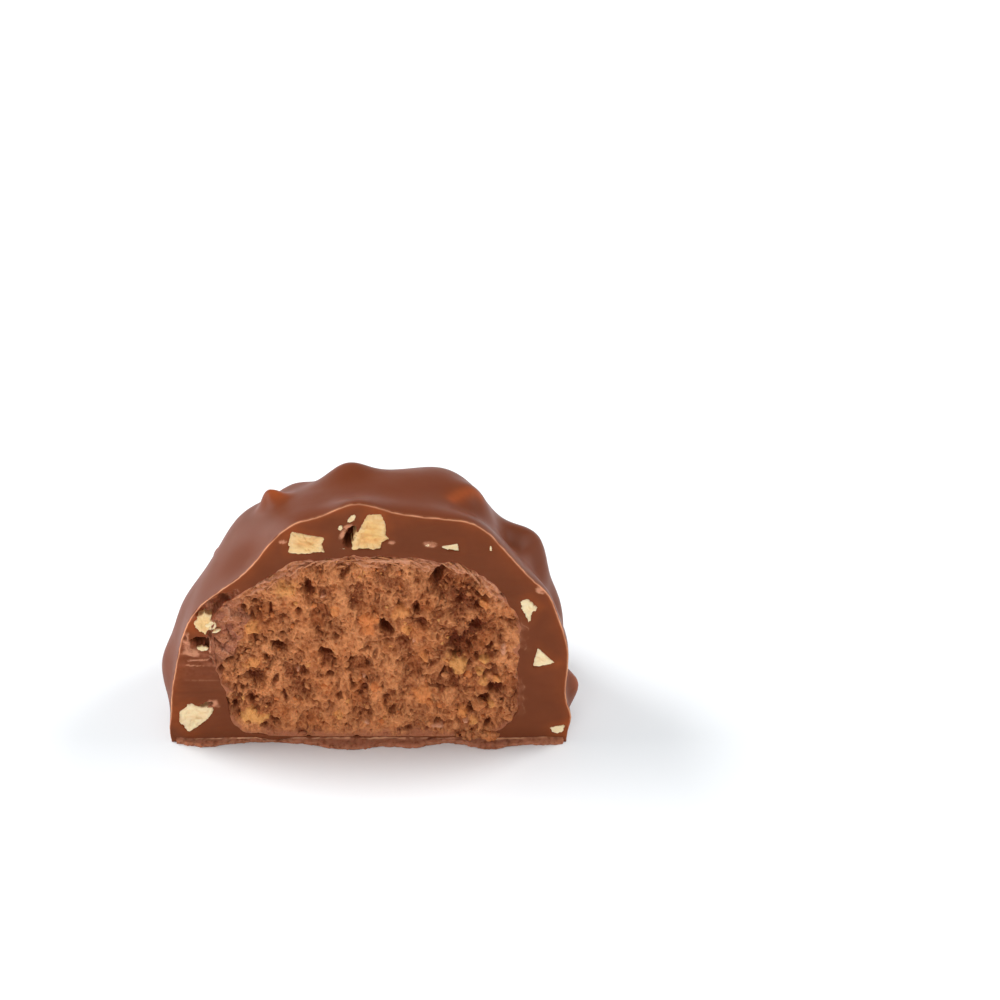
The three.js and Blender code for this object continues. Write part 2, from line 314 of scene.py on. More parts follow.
# Section of the rim: distance behind the cut, share of the reach in front of it, height.
RIM_PROFILE = [
    (0.5, 0, 0.0), (0, 0, 0.0), (0, 0.6, 0.0), (0, 0.95, 0.0), (0, 1.0, 0.05),
    (0, 1.0, 0.14), (0, 0.93, 0.22), (0, 0.8, 0.28), (0, 0.6, 0.33), (0, 0.4, 0.37),
    (0, 0.2, 0.41), (-0.03, 0.03, 0.45), (0.04, 0, 0.49), (0.5, 0, 0.42),
]

# Sides and back of a nut piece: share of its depth, share of its width.
NUT_SIDES = [(0.1, 1.01), (0.3, 1.04), (0.5, 1.05), (0.75, 0.9), (1.0, 0.55), (1.0, 0.0)]
NUT_POINT_STEP = 0.07
NUT_FACE_ROWS = 17
CHIP_DEPTH = 0.35

# Soft lights: name, place, width, watts.
SOFTBOXES = [
    ("top_softbox", (0, 60, 400), 200, 0.1),
    ("left_softbox", (-300, 85, 250), 240, 1.58),
    ("right_softbox", (300, 85, 250), 240, 1.32),
    ("front_softbox", (-60, -380, 100), 260, 0.83),
    ("rear_left_softbox", (-320, 270, 70), 200, 0.5),
]
LIT_POINT = (0, 0, 8)
FLOOR_WIDTH = 6000


# Properties

def length(name, description, millimetres):
    return FloatProperty(
        name=name, description=description, default=millimetres * MM, unit="LENGTH", precision=5
    )


def factor(name, description, value):
    return FloatProperty(name=name, description=description, default=value, subtype="FACTOR")


def srgb(red, green, blue):
    """A display colour of 0 to 255 as the linear numbers that the shaders use."""
    shares = [value / 255 for value in (red, green, blue)]
    return tuple(
        share / 12.92 if share <= 0.04045 else ((share + 0.055) / 1.055) ** 2.4
        for share in shares
    )


def colour(name, description, red, green, blue):
    return FloatVectorProperty(
        name=name,
        description=description,
        default=srgb(red, green, blue),
        subtype="COLOR",
        size=3,
        min=0,
        max=1,
    )


class PRALINE_PG_shape(PropertyGroup):
    half_width: length("Half width", "Half of the dome's width at the cut", 15.7)
    depth: length("Depth", "From the cut to the rear of the dome", 16.1)
    height: length("Height", "From the plate to the crest, without lumps", 22)
    fullness: FloatProperty(
        name="Fullness", description="2 is a plain dome, more is squarer", default=2.35
    )
    filling_half_width: length("Filling half width", "Half of the filling's width", 11.9)
    filling_depth: length("Filling depth", "From the cut to the rear of the filling", 12.2)
    filling_middle: length("Filling middle", "Height of the filling's middle", 10)
    filling_above: length("Filling above", "From the filling's middle to its top", 8.4)
    filling_below: length("Filling below", "From the filling's middle to its foot", 9.4)
    lip: length("Lip", "Radius of the edge between the coating and the cut", 0.08)
    swell: length("Swell", "Height of the coating's soft unevenness", 0.07)


class PRALINE_PG_crumbs(PropertyGroup):
    crumb: length("Crumb", "Size of the large crumbs of the filling", 1.35)
    grain: length("Grain", "Size of the grains in a crumb", 0.46)
    step: length("Step", "Spacing of the points on the cut filling", 0.082)
    loose: IntProperty(name="Loose grains", description="Grains that stand free", default=620)
    loose_size: length("Loose size", "Radius of an average loose grain", 0.17)
    spill: IntProperty(name="Spilled grains", description="Grains on the foot", default=44)
    flakes: IntProperty(name="Flakes", description="Flakes of the film under the shell", default=26)


class PRALINE_PG_colours(PropertyGroup):
    coating: colour("Coating", "Outside of the milk chocolate", 106, 53, 30)
    # Painted glow on the lit tops of the lumps.
    crown: colour("Crown", "Thin coating over a lump", 164, 80, 40)
    cut: colour("Cut", "Milk chocolate where the knife cut it", 110, 57, 33)
    # Painted glow of the cut near its lip and around the nut pieces.
    toffee: colour("Toffee", "Band of the cut next to its edge", 148, 72, 34)
    smear: colour("Smear", "Broken chocolate", 148, 86, 62)
    # Painted highlight along the thin lip where the coating ends at the cut.
    edge: colour("Edge", "Pale line where the coating ends at the cut", 232, 168, 128)
    crumb_dark: colour("Dark crumb", "Darker crumbs of the filling", 112, 48, 16)
    crumb_light: colour("Light crumb", "Lighter crumbs of the filling", 218, 144, 92)
    toast: colour("Toast", "Orange bits in the filling", 208, 120, 64)
    nut_bit: colour("Nut bit", "Yellow bits in the filling", 222, 158, 90)
    # Painted shade deep in pits, pores, gaps and voids.
    crevice_shade: colour("Crevice", "Deep between the crumbs", 82, 24, 3)
    film: colour("Film", "Thin flaky films", 202, 140, 108)
    nut: colour("Nut", "Cut nut flesh", 221, 176, 107)
    nut_pale: colour("Pale nut", "Palest nut flesh", 232, 213, 173)
    nut_streak: colour("Nut streak", "Warm streaks in the nut flesh", 214, 150, 82)
    nut_skin: colour("Nut skin", "Sides of a nut piece", 200, 140, 84)
    floor: colour("Floor", "Table top", 237, 240, 242)
    sky: colour("Sky", "Surroundings", 248, 251, 255)


class PRALINE_PG_studio(PropertyGroup):
    elevation: FloatProperty(
        name="Elevation",
        description="Angle of the camera above the table",
        default=math.radians(36),
        subtype="ANGLE",
    )
    distance: length("Distance", "From the camera to its aim", 420)
    field: length("Field", "Width of the picture at the camera's aim", 80)
    aim_right: length("Aim right", "From the middle of the cut's foot to the aim", 10.4)
    aim_up: length("Aim up", "From the cut's foot up the picture to the aim", 19.36)
    sky: factor("Sky", "Strength of the surroundings overhead", 0.21)
    horizon: factor("Horizon", "Strength of the surroundings just above the table", 0.78)


# Shaders

class Socket:
    """A shader socket in a Python expression, whose operators add Math nodes."""

    def __init__(self, board, socket):
        self.board = board
        self.socket = socket

    def __add__(self, other):
        return self.board.maths("ADD", self, other)

    __radd__ = __add__

    def __sub__(self, other):
        return self.board.maths("SUBTRACT", self, other)

    def __rsub__(self, other):
        return self.board.maths("SUBTRACT", other, self)

    def __mul__(self, other):
        return self.board.maths("MULTIPLY", self, other)

    __rmul__ = __mul__

    def clamped(self):
        return self.board.add("ShaderNodeClamp", sockets={0: self})


class Board:
    """The node tree of a material or of the surroundings."""

    def __init__(self, owner):
        self.owner = owner
        owner.use_nodes = True
        self.tree = owner.node_tree
        self.tree.nodes.clear()

    def add(self, kind, settings=None, sockets=None, out=0):
        node = self.tree.nodes.new(kind)
        for key, value in (settings or {}).items():
            setattr(node, key, value)
        for key, value in (sockets or {}).items():
            if isinstance(value, Socket):
                self.tree.links.new(value.socket, node.inputs[key])
            else:
                node.inputs[key].default_value = value
        return Socket(self, node.outputs[out]) if node.outputs else None

    def maths(self, operation, first, second):
        return self.add("ShaderNodeMath", {"operation": operation}, {0: first, 1: second})

    def mask(self, name):
        """A number that the mesh carries at each point."""
        return self.add("ShaderNodeAttribute", {"attribute_name": name}, out=2)

    def noise(self, size, detail=3.0, stretch=(1, 1, 1)):
        """Noise from 0 to 1 whose spots are about size millimetres apart."""
        place = self.add("ShaderNodeTexCoord", out=3)
        place = self.add("ShaderNodeMapping", sockets={"Vector": place, "Scale": stretch})
        sockets = {"Vector": place, "Scale": 1 / (size * MM), "Detail": detail, "Roughness": 0.55}
        return self.add("ShaderNodeTexNoise", sockets=sockets)

    def spread(self, value, low, high, start=0.0, end=1.0):
        """value from low to high, drawn out to go from start to end."""
        sockets = {0: value, 1: low, 2: high, 3: start, 4: end}
        return self.add("ShaderNodeMapRange", sockets=sockets)

    def mix(self, share, *colours):
        first, second = (c if isinstance(c, Socket) else (*c, 1) for c in colours)
        sockets = {0: share, 6: first, 7: second}
        return self.add("ShaderNodeMix", {"data_type": "RGBA"}, sockets, out=2)

    def layered(self, base, *layers):
        """base with other colours over it, each a pair of its share and the colour."""
        for share, colour in layers:
            base = self.mix(share, base, colour)
        return base

    def bump(self, height, distance, strength):
        sockets = {"Height": height, "Distance": distance * MM, "Strength": strength}
        return self.add("ShaderNodeBump", sockets=sockets)

    def finish(self, **sockets):
        """Closes the tree with a Principled shader. Names use _ for a space."""
        named = {key.replace("_", " "): value for key, value in sockets.items()}
        shader = self.add("ShaderNodeBsdfPrincipled", sockets=named)
        self.add("ShaderNodeOutputMaterial", sockets={"Surface": shader})
        return self.owner


def darker(colour, share):
    return tuple(share * value for value in colour)


def chocolate_finish(colours):
    board = Board(bpy.data.materials.new("milk_chocolate_finish"))
    cut = board.mask("cut")
    mottle = board.noise(2.2)
    fine = board.noise(0.35, detail=4)
    outside = board.layered(
        colours.coating,
        # Painted glow on the lit tops of the lumps.
        ((board.mask("crown") * 0.65).clamped(), colours.crown),
        ((0.3 * mottle).clamped(), darker(colours.coating, 0.75)),
    )
    face = board.layered(
        colours.cut,
        # Painted glow of the cut near its lip and around the nut pieces.
        (board.mask("toffee"), colours.toffee),
        (0.4 * board.spread(mottle, 0.35, 0.65), darker(colours.cut, 0.75)),
        (board.mask("smear") * board.spread(fine, 0.3, 0.7), colours.smear),
        (board.mask("film") * board.spread(fine, 0.25, 0.5), colours.film),
        # Painted shade in the voids and gaps of the cut.
        (board.mask("hollow"), darker(colours.crevice_shade, 0.5)),
    )
    knife = board.noise(0.3, detail=2, stretch=(0.08, 1, 1))
    height = fine * (0.3 + 0.5 * cut) + 0.8 * knife * cut
    return board.finish(
        # The edge colour is a painted highlight along the thin lip.
        Base_Color=board.layered(outside, (cut, face), (board.mask("edge"), colours.edge)),
        Roughness=board.spread(mottle, 0.3, 0.7, 0.38, 0.46) + 0.14 * cut,
        Normal=board.bump(height, 0.02, 0.6),
        Specular_IOR_Level=0.06,
        Subsurface_Weight=0.25,
        Subsurface_Radius=(1.0, 0.35, 0.15),
        Subsurface_Scale=0.6 * MM,
        Coat_Weight=0.03 - 0.03 * cut,
        Coat_Roughness=0.3,
    )


def filling_finish(colours):
    board = Board(bpy.data.materials.new("praline_finish"))
    fine = board.noise(0.16, detail=4)
    grainy = board.noise(0.3, detail=3)
    specks = board.spread(grainy, 0.35, 0.65) * 0.3 + board.spread(fine, 0.3, 0.7) * 0.25
    base = board.layered(
        colours.crumb_dark,
        # The tone mask carries painted shade by depth as well as random tone.
        ((board.mask("tone") * 0.6 + specks - 0.08).clamped(), colours.crumb_light),
        (board.mask("toast"), colours.toast),
        (board.mask("yellow"), colours.nut_bit),
        (board.mask("smear") * board.spread(fine, 0.0, 0.4), colours.smear),
        # The film colour also paints the glints at a few specks.
        (board.mask("film"), colours.film),
        # Painted shade in pits, pores, gaps and cracks.
        (board.mask("hollow"), colours.crevice_shade),
    )
    return board.finish(
        Base_Color=base,
        Roughness=board.spread(fine, 0.3, 0.7, 0.45, 0.7),
        Normal=board.bump(fine + 1.5 * grainy, 0.1, 1.0),
        Specular_IOR_Level=0.14,
        Subsurface_Weight=0.15,
        Subsurface_Radius=(1.0, 0.4, 0.2),
        Subsurface_Scale=0.3 * MM,
    )


def nut_finish(colours):
    board = Board(bpy.data.materials.new("hazelnut_finish"))
    streaks = board.noise(1.0, detail=3, stretch=(0.5, 1, 2.2))
    fine = board.noise(0.22, detail=4)
    patches = board.spread(board.noise(0.7, detail=4), 0.5, 0.7)
    warm = board.mask("warm")
    rim = board.mask("rim")
    streak = board.spread(streaks, 0.48, 0.68) * (1 - rim) * (0.15 + 0.75 * warm)
    base = board.layered(
        colours.nut_pale,
        (warm, colours.nut),
        (streak.clamped(), colours.nut_streak),
        (0.7 * rim * board.spread(fine, 0.3, 0.6), colours.nut_pale),
        ((0.3 * patches).clamped(), colours.nut_skin),
        (board.mask("skin"), colours.nut_skin),
    )
    return board.finish(
        Base_Color=base,
        Roughness=board.spread(fine, 0.3, 0.7, 0.45, 0.65),
        Normal=board.bump(fine, 0.05, 0.8),
        Specular_IOR_Level=0.35,
        Subsurface_Weight=0.3,
        Subsurface_Radius=(1.0, 0.7, 0.4),
        Subsurface_Scale=0.4 * MM,
    )


# The finish of each slot. A material is named after its slot.
FINISHES = {
    "milk_chocolate": chocolate_finish,
    "praline": filling_finish,
    "hazelnut": nut_finish,
}


def finish_of(slot):
    """The material of a slot, made when its first piece needs it."""
    material = bpy.data.materials.get(f"{slot}_finish")
    return material or FINISHES[slot](bpy.context.scene.praline_colours)


def floor_finish(colours):
    board = Board(bpy.data.materials.new("table_top"))
    base = board.mix(0.02 * board.noise(3.0), colours.floor, darker(colours.floor, 0.9))
    return board.finish(Base_Color=base, Roughness=0.6, Specular_IOR_Level=0.2)


# Noise

def scatter(seed):
    """Evenly spread numbers from 0 to 1 that are always the same for the same seeds."""
    value = np.sin(np.asarray(seed, float) * 12.9898) * 43758.5453
    return value - np.floor(value)


def smoothstep(low, high, value):
    share = np.clip((value - low) / (high - low), 0, 1)
    return share * share * (3 - 2 * share)


def swells(x, z, size, salt):
    """Smooth noise from -1 to 1 whose swells are about size apart."""
    column, row = np.floor(x / size), np.floor(z / size)
    a, b = smoothstep(0, 1, x / size - column), smoothstep(0, 1, z / size - row)

    def corner(right, up):
        return scatter((column + right) * 57 + (row + up) * 131 + salt)

    low = corner(0, 0) * (1 - a) + corner(1, 0) * a
    high = corner(0, 1) * (1 - a) + corner(1, 1) * a
    return 2 * (low * (1 - b) + high * b) - 1


def rough(x, z, size, octaves, salt):
    """Noise from about -1 to 1 with swells of size and finer ones on them."""
    total = np.zeros(np.shape(x))
    strength = 0.5
    for octave in range(octaves):
        x, z = 0.8 * x - 0.6 * z + 3.1, 0.6 * x + 0.8 * z + 1.7
        total = total + strength * swells(x, z, size, salt + 11 * octave)
        strength *= 0.6
        size *= 0.53
    return total * 1.6


def cells(x, z, size, salt=0, jitter=0.8):
    """For each point the distance to the nearest cell's middle and to the next one's, both in
    sizes, and the nearest cell's own seed."""
    column, row = np.floor(x / size), np.floor(z / size)
    nearest = np.full(np.shape(x), np.inf)
    second = nearest.copy()
    own = np.zeros(np.shape(x))
    for i in (-1, 0, 1):
        for j in (-1, 0, 1):
            seed = (column + i) * 57 + (row + j) * 131 + salt
            middle_x = (column + i + 0.5 + jitter * (scatter(seed) - 0.5)) * size
            middle_z = (row + j + 0.5 + jitter * (scatter(seed + 17) - 0.5)) * size
            distance = np.hypot(x - middle_x, z - middle_z) / size
            closer = distance < nearest
            second = np.where(closer, nearest, np.minimum(second, distance))
            own = np.where(closer, seed, own)
            nearest = np.where(closer, distance, nearest)
    return nearest, second, own


def tilted(right, up, angle):
    """right and up turned by an angle in radians."""
    sine, cosine = math.sin(angle), math.cos(angle)
    return right * cosine - up * sine, right * sine + up * cosine


def in_oval(x, z, oval):
    """How far x, z is from the middle of a tilted oval: 1 is on its outline."""
    middle_x, middle_z, half_width, half_height, tilt = oval[:5]
    along, across = tilted(x - middle_x, z - middle_z, -math.radians(tilt))
    return np.hypot(along / half_width, across / half_height)


def outside_of(x, z, corners):
    """Distance from x, z to a closed outline, negative inside it."""
    distance = np.full(np.shape(x), np.inf)
    crossings = np.zeros(np.shape(x), int)
    for (x0, z0), (x1, z1) in zip(corners, np.roll(corners, -1, axis=0)):
        run, rise = x1 - x0, z1 - z0
        share = np.clip(((x - x0) * run + (z - z0) * rise) / (run**2 + rise**2), 0, 1)
        distance = np.minimum(distance, np.hypot(x - x0 - share * run, z - z0 - share * rise))
        if rise:
            passes = (z0 > z) != (z1 > z)
            crossings += passes & (x < x0 + (z - z0) / rise * run)
    return np.where(crossings % 2 == 1, -distance, distance)


# The rounded bodies

def directions(around, back):
    a, b = np.radians(around), np.radians(back)
    return np.stack([np.cos(b) * np.cos(a), np.sin(b) + 0 * a, np.cos(b) * np.sin(a)], axis=-1)


def full_radius(way, reaches, fullness):
    """Radius of a rounded body that reaches so far along x, y and z."""
    total = sum(np.abs(way[..., i] / reach) ** fullness for i, reach in enumerate(reaches))
    return total ** (-1 / fullness)


def dome_radius(way):
    shape = bpy.context.scene.praline_shape
    reaches = (shape.half_width / MM, shape.depth / MM, shape.height / MM)
    return full_radius(way, reaches, shape.fullness)


def filling_radius(way):
    """The filling has a round top and a squarer foot."""
    shape = bpy.context.scene.praline_shape
    foot = np.clip(-way[..., 2] / 0.4, 0, 1)
    height = np.where(way[..., 2] > 0, shape.filling_above / MM, shape.filling_below / MM)
    reaches = (shape.filling_half_width / MM, shape.filling_depth / MM, height)
    return full_radius(way, reaches, 2.4 + 4.6 * foot)


def lumpy(plain, way, lumps):
    """The plain radius with a bell at each lump's place."""
    radius = plain(way)
    for around, back, size, rise in lumps:
        place = directions(around, back)
        reach = size / plain(place)
        radius = radius + rise * np.exp(-((np.linalg.norm(way - place, axis=-1) / reach) ** 2))
    return radius


def all_dome_lumps():
    lumps = list(DOME_LUMPS)
    for i in range(REAR_LUMPS):
        back = math.degrees(math.asin(REAR_START + REAR_SPAN * i / REAR_LUMPS))
        size = 1.2 + 0.9 * float(scatter(i + 1))
        lumps.append((i * REAR_TURN % 180, back, size, 0.65 + 0.6 * float(scatter(i + 51))))
    lumps += [(4, 32 + 15 * i, 2.2, 0.7) for i in range(FOOT_LUMPS)]
    return lumps


def filling_middle():
    """Height of the middle from which the filling's outline is drawn."""
    return bpy.context.scene.praline_shape.filling_middle / MM


def filling_reach(around, back):
    """Radius of the filling with its dents and its uneven edge."""
    way = directions(around, back)
    uneven = 0.16 * swells(around / 6, back / 20, 1.0, 5) + 0.1 * swells(around / 2.2, back, 1.0, 9)
    return lumpy(filling_radius, way, FILLING_LUMPS) + uneven * (way[..., 2] > -0.75)


def filling_outline(around, growth=0.0):
    """x, z of the filling's edge at the cut, seen from its middle at these angles."""
    radius = filling_reach(around, 0) + growth
    angle = np.radians(around)
    return radius * np.cos(angle), filling_middle() + radius * np.sin(angle)


def inside_outline(around, share, growth=0.0):
    """x, z a share of the way from the filling's middle to its edge, and the rest of the way."""
    edge_x, edge_z = filling_outline(around, growth)
    rise = edge_z - filling_middle()
    return share * edge_x, filling_middle() + share * rise, (1 - share) * np.hypot(edge_x, rise)


def rear_sheet(around, front, backs, gap, masks):
    """The filling's form from its edge at the cut, front, to a point at the rear. It lies gap
    outside the filling."""
    rows = [front]
    plain = filling_radius(directions(around, 0))
    for back in backs:
        way = directions(around, back)
        radius = filling_reach(around, 0) * (filling_radius(way) / plain) + gap
        rows.append(way * radius[:, None] + (0, CUT_Y, filling_middle()))
    rows[-1][:] = rows[-1].mean(axis=0)
    return sheet(np.array(rows), masks, closed=True)


# Meshes

WELD_DISTANCE = 1e-4


def grid(rows, columns, closed=False):
    """Corner numbers of the faces between the points of a grid, row by row."""
    numbers = np.arange(rows * columns).reshape(rows, columns)
    right = np.roll(numbers, -1, axis=1) if closed else numbers[:, 1:]
    left = numbers if closed else numbers[:, :-1]
    return np.stack([left[:-1], right[:-1], right[1:], left[1:]], axis=-1).reshape(-1, 4)


def sheet(points, masks, closed=False):
    """Points row by row, the faces between them and their masks."""
    return points, grid(*points.shape[:2], closed), masks


def weld(points, faces, masks):
    """Joins points that share a place. Faces that close up to a line go."""
    keys = np.round(points / WELD_DISTANCE).astype(np.int64)
    _, first, number = np.unique(keys, axis=0, return_index=True, return_inverse=True)
    faces = number.reshape(-1)[faces]
    same = faces == np.roll(faces, -1, axis=1)
    groups = [faces[~same.any(axis=1)]]
    for corner in range(4):
        short = faces[same[:, corner] & (same.sum(axis=1) == 1)]
        groups.append(np.delete(short, corner, axis=1))
    return points[first], groups, {name: values[first] for name, values in masks.items()}


def join(sheets):
    """One set of points, faces and masks from several sheets. A mask that a sheet lacks is 0."""
    names = sorted({name for _, _, masks in sheets for name in masks})
    points, faces = [], []
    values = {name: [] for name in names}
    count = 0
    for sheet_points, sheet_faces, masks in sheets:
        flat = sheet_points.reshape(-1, 3)
        points.append(flat)
        faces.append(sheet_faces + count)
        count += len(flat)
        for name in names:
            values[name].append(np.broadcast_to(np.ravel(masks.get(name, 0.0)), len(flat)))
    masks = {name: np.concatenate(parts) for name, parts in values.items()}
    return np.concatenate(points), np.concatenate(faces), masks


def add_piece(name, points, face_groups, masks, slot, nodes):
    """A smooth shaded mesh from arrays, which stands for the CAD nodes."""
    groups = [group for group in face_groups if len(group)]
    corners = np.concatenate([group.ravel() for group in groups])
    sizes = np.concatenate([np.full(len(group), group.shape[1]) for group in groups])
    mesh = bpy.data.meshes.new(name)
    mesh.vertices.add(len(points))
    mesh.vertices.foreach_set("co", (points * MM).astype(np.float32).ravel())
    mesh.loops.add(len(corners))
    mesh.loops.foreach_set("vertex_index", corners.astype(np.int32))
    mesh.polygons.add(len(sizes))
    mesh.polygons.foreach_set("loop_start", (np.cumsum(sizes) - sizes).astype(np.int32))
    mesh.polygons.foreach_set("use_smooth", np.ones(len(sizes), bool))
    mesh.update(calc_edges=True)
    for mask, values in masks.items():
        layer = mesh.attributes.new(mask, "FLOAT", "POINT")
        layer.data.foreach_set("value", values.astype(np.float32))
    if mesh.validate():
        raise RuntimeError(f"{name} has faulty faces")
    face_outwards(mesh)
    mesh.materials.append(finish_of(slot))
    piece = bpy.data.objects.new(name, mesh)
    bpy.context.scene.collection.objects.link(piece)
    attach(piece, "root")
    if nodes:
        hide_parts(*nodes)


def add_welded(name, sheets, slot, nodes):
    """One piece from sheets that meet along their edges."""
    points, groups, masks = weld(*join(sheets))
    add_piece(name, points, groups, masks, slot, nodes)


def face_outwards(mesh):
    form = bmesh.new()
    form.from_mesh(mesh)
    bmesh.ops.recalc_face_normals(form, faces=form.faces)
    form.to_mesh(mesh)
    form.free()


def nut_outline(node):
    """Corners of a nut piece's cut face, read from its CAD node, in order round its middle."""
    points = np.array([vertex.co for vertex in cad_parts[node].data.vertices]) / MM
    front = np.unique(points[points[:, 1] < CUT_Y + 0.01][:, [0, 2]].round(4), axis=0)
    middle = front.mean(axis=0)
    angle = np.arctan2(front[:, 1] - middle[1], front[:, 0] - middle[0])
    return front[np.argsort(angle)]


# The chocolate shell

COLUMNS = 500
BASE_COLUMNS = 110
SHELL_THICKNESS = 4.2

# Rows of points on the dome, as distances behind the cut along an arc of this radius.
DOME_ARC = 17
DOME_ROWS = np.concatenate([[0.12, 0.18, 0.28, 0.45, 0.68], np.linspace(0.95, 26.7, 92)])

# Rows of points on the cut: the first in lips, the even ones between them and the last.
NEAR_ROWS = np.array([0, 0.33, 0.71, 1.2, 2, 3])
FIRST_EVEN_ROW = 4.2
EVEN_ROWS = 39
LAST_ROWS = SHELL_THICKNESS - np.array([0.1, 0.04, 0])

# Rows of points behind the filling's cut face, as angles back.
REAR_ROWS = (9, 18, 32, 50, 70, 90)
POCKET_GAP = 0.05


def rounded_lip(turn, radius):
    """How far behind the cut and how far in from the side a point of the lip lies."""
    angle = math.radians(turn)
    return radius * (1 - math.sin(angle)), radius * (1 - math.cos(angle))


def moved_in(points, distance):
    """points moved towards the middle of the filling, along the cut."""
    inwards = np.array([0, 0, filling_middle()]) - points
    inwards[..., 1] = 0
    return points + distance * inwards / np.linalg.norm(inwards, axis=-1, keepdims=True)


def lip_raggedness(around):
    """How thick the lip is and how strong the painted highlight along it is at each angle, 0 to 1.
    """
    thick = 0.6 + 0.35 * swells(around / 2.3, 0, 1.0, 91) + 0.3 * swells(around / 0.8, 0, 1.0, 92)
    return np.clip(thick, 0.1, 1)


def dome_sheet(shape):
    """Outside of the coating, row by row from the lip to the rear."""
    around = np.linspace(0, 180, COLUMNS + 1)
    lumps = all_dome_lumps()
    ragged = lip_raggedness(around)
    # edge is a painted highlight along the lip, strongest on the two lip rows.
    rows, edge = [], []
    crest = lumpy(dome_radius, directions(around, 0), lumps)
    for turn, pale in ((45, 0.85), (22.5, 0.25)):
        depth, inset = rounded_lip(turn, shape.lip / MM)
        way = directions(around, np.degrees(np.arcsin(depth / crest)))
        points = way * lumpy(dome_radius, way, lumps)[:, None]
        rows.append(moved_in(points, inset + (0.03 - 0.05 * ragged[:, None])))
        edge.append(pale * ragged)
    back, wide = np.meshgrid(np.degrees(DOME_ROWS / DOME_ARC), around, indexing="ij")
    back[-1] = 90
    way = directions(wide, back)
    fade = smoothstep(0, 1.5, DOME_ROWS)[:, None]
    fade = fade * np.cos(np.radians(back)) * np.sin(np.radians(wide))
    # The noise lies on a plane, so the coating is laid out on one for it.
    x, z = 16 * way[..., 0] + 9 * way[..., 1], 16 * way[..., 2] - 11 * way[..., 1]
    swell = swells(x, z, 5.5, 3) + 0.5 * swells(x, z, 2.4, 8)
    radius = lumpy(dome_radius, way, lumps) + shape.swell / MM * swell * fade
    rows.extend(way * radius[..., None])
    edge.extend(0.1 * (row < 0.15) * ragged for row in DOME_ROWS)
    points = np.array(rows)
    points[..., 1] += CUT_Y
    points[-1] = (0, points[-1, 0, 1], 0)
    # Painted glow on the lit tops of the lumps, which the two lip rows don't get.
    crown = np.zeros(points.shape[:2])
    crown[2:] = lump_glow(way, lumps[len(DOME_LUMPS) :])
    return sheet(points, {"edge": np.array(edge), "crown": crown})


def lump_glow(way, rear_lumps):
    """How much painted glow lights the coating in each direction, 0 to 1."""
    spots = [(*spot, 1.0) for spot in GLOW_SPOTS]
    spots += [(*lump[:3], REAR_GLOW) for lump in rear_lumps]
    crown = np.zeros(way.shape[:2])
    for around, back, size, glow_strength in spots:
        place = directions(around, back)
        away = np.linalg.norm(way - place, axis=-1) * dome_radius(place) / size
        crown = np.maximum(crown, glow_strength * np.exp(-(away**2)))
    return crown


def base_sheet(dome):
    """Flat underside between the right and left foot of the dome."""
    share = np.linspace(0, 1, BASE_COLUMNS + 1)[None, :, None]
    return sheet(dome[:, :1] * (1 - share) + dome[:, -1:] * share, {})


def broken(x, z):
    """How far x, z is inside the chunk of broken chocolate, 0 to 1."""
    return smoothstep(1.15, 0.85, in_oval(x, z, CHUNK) + 0.35 * rough(x, z, 1.1, 3, 23))


def chunk_relief(x, z):
    """Depth of the broken chocolate, which is made of flat crumbs, the gaps and the pale
    ridges between them, and each crumb's tone."""
    bend = 0.35 * rough(x, z, 0.9, 3, 25)
    nearest, second, own = cells(x + bend, z - bend, 1.25, 77, 1.0)
    seam = second - nearest
    gap = smoothstep(0.14, 0.0, seam) * smoothstep(0.3, 0.7, scatter(own + 4))
    ridge = smoothstep(0.2, 0.05, seam) * smoothstep(0.5, 0.2, scatter(own + 4))
    depth = 0.05 + 0.35 * scatter(own) + 0.3 * gap - 0.08 * ridge - 0.12 * rough(x, z, 0.6, 4, 27)
    nearest, second, own = cells(x - bend, z + bend, 0.6, 177, 1.0)
    seam = second - nearest
    gap = np.maximum(gap, smoothstep(0.14, 0.0, seam) * smoothstep(0.6, 0.8, scatter(own + 4)))
    fine = smoothstep(0.16, 0.04, seam) * smoothstep(0.45, 0.2, scatter(own + 4))
    depth = depth + 0.2 * (scatter(own) - 0.5) + 0.1 * gap
    return depth, gap, np.maximum(ridge, 0.8 * fine), 0.45 + 0.65 * scatter(own + 7)


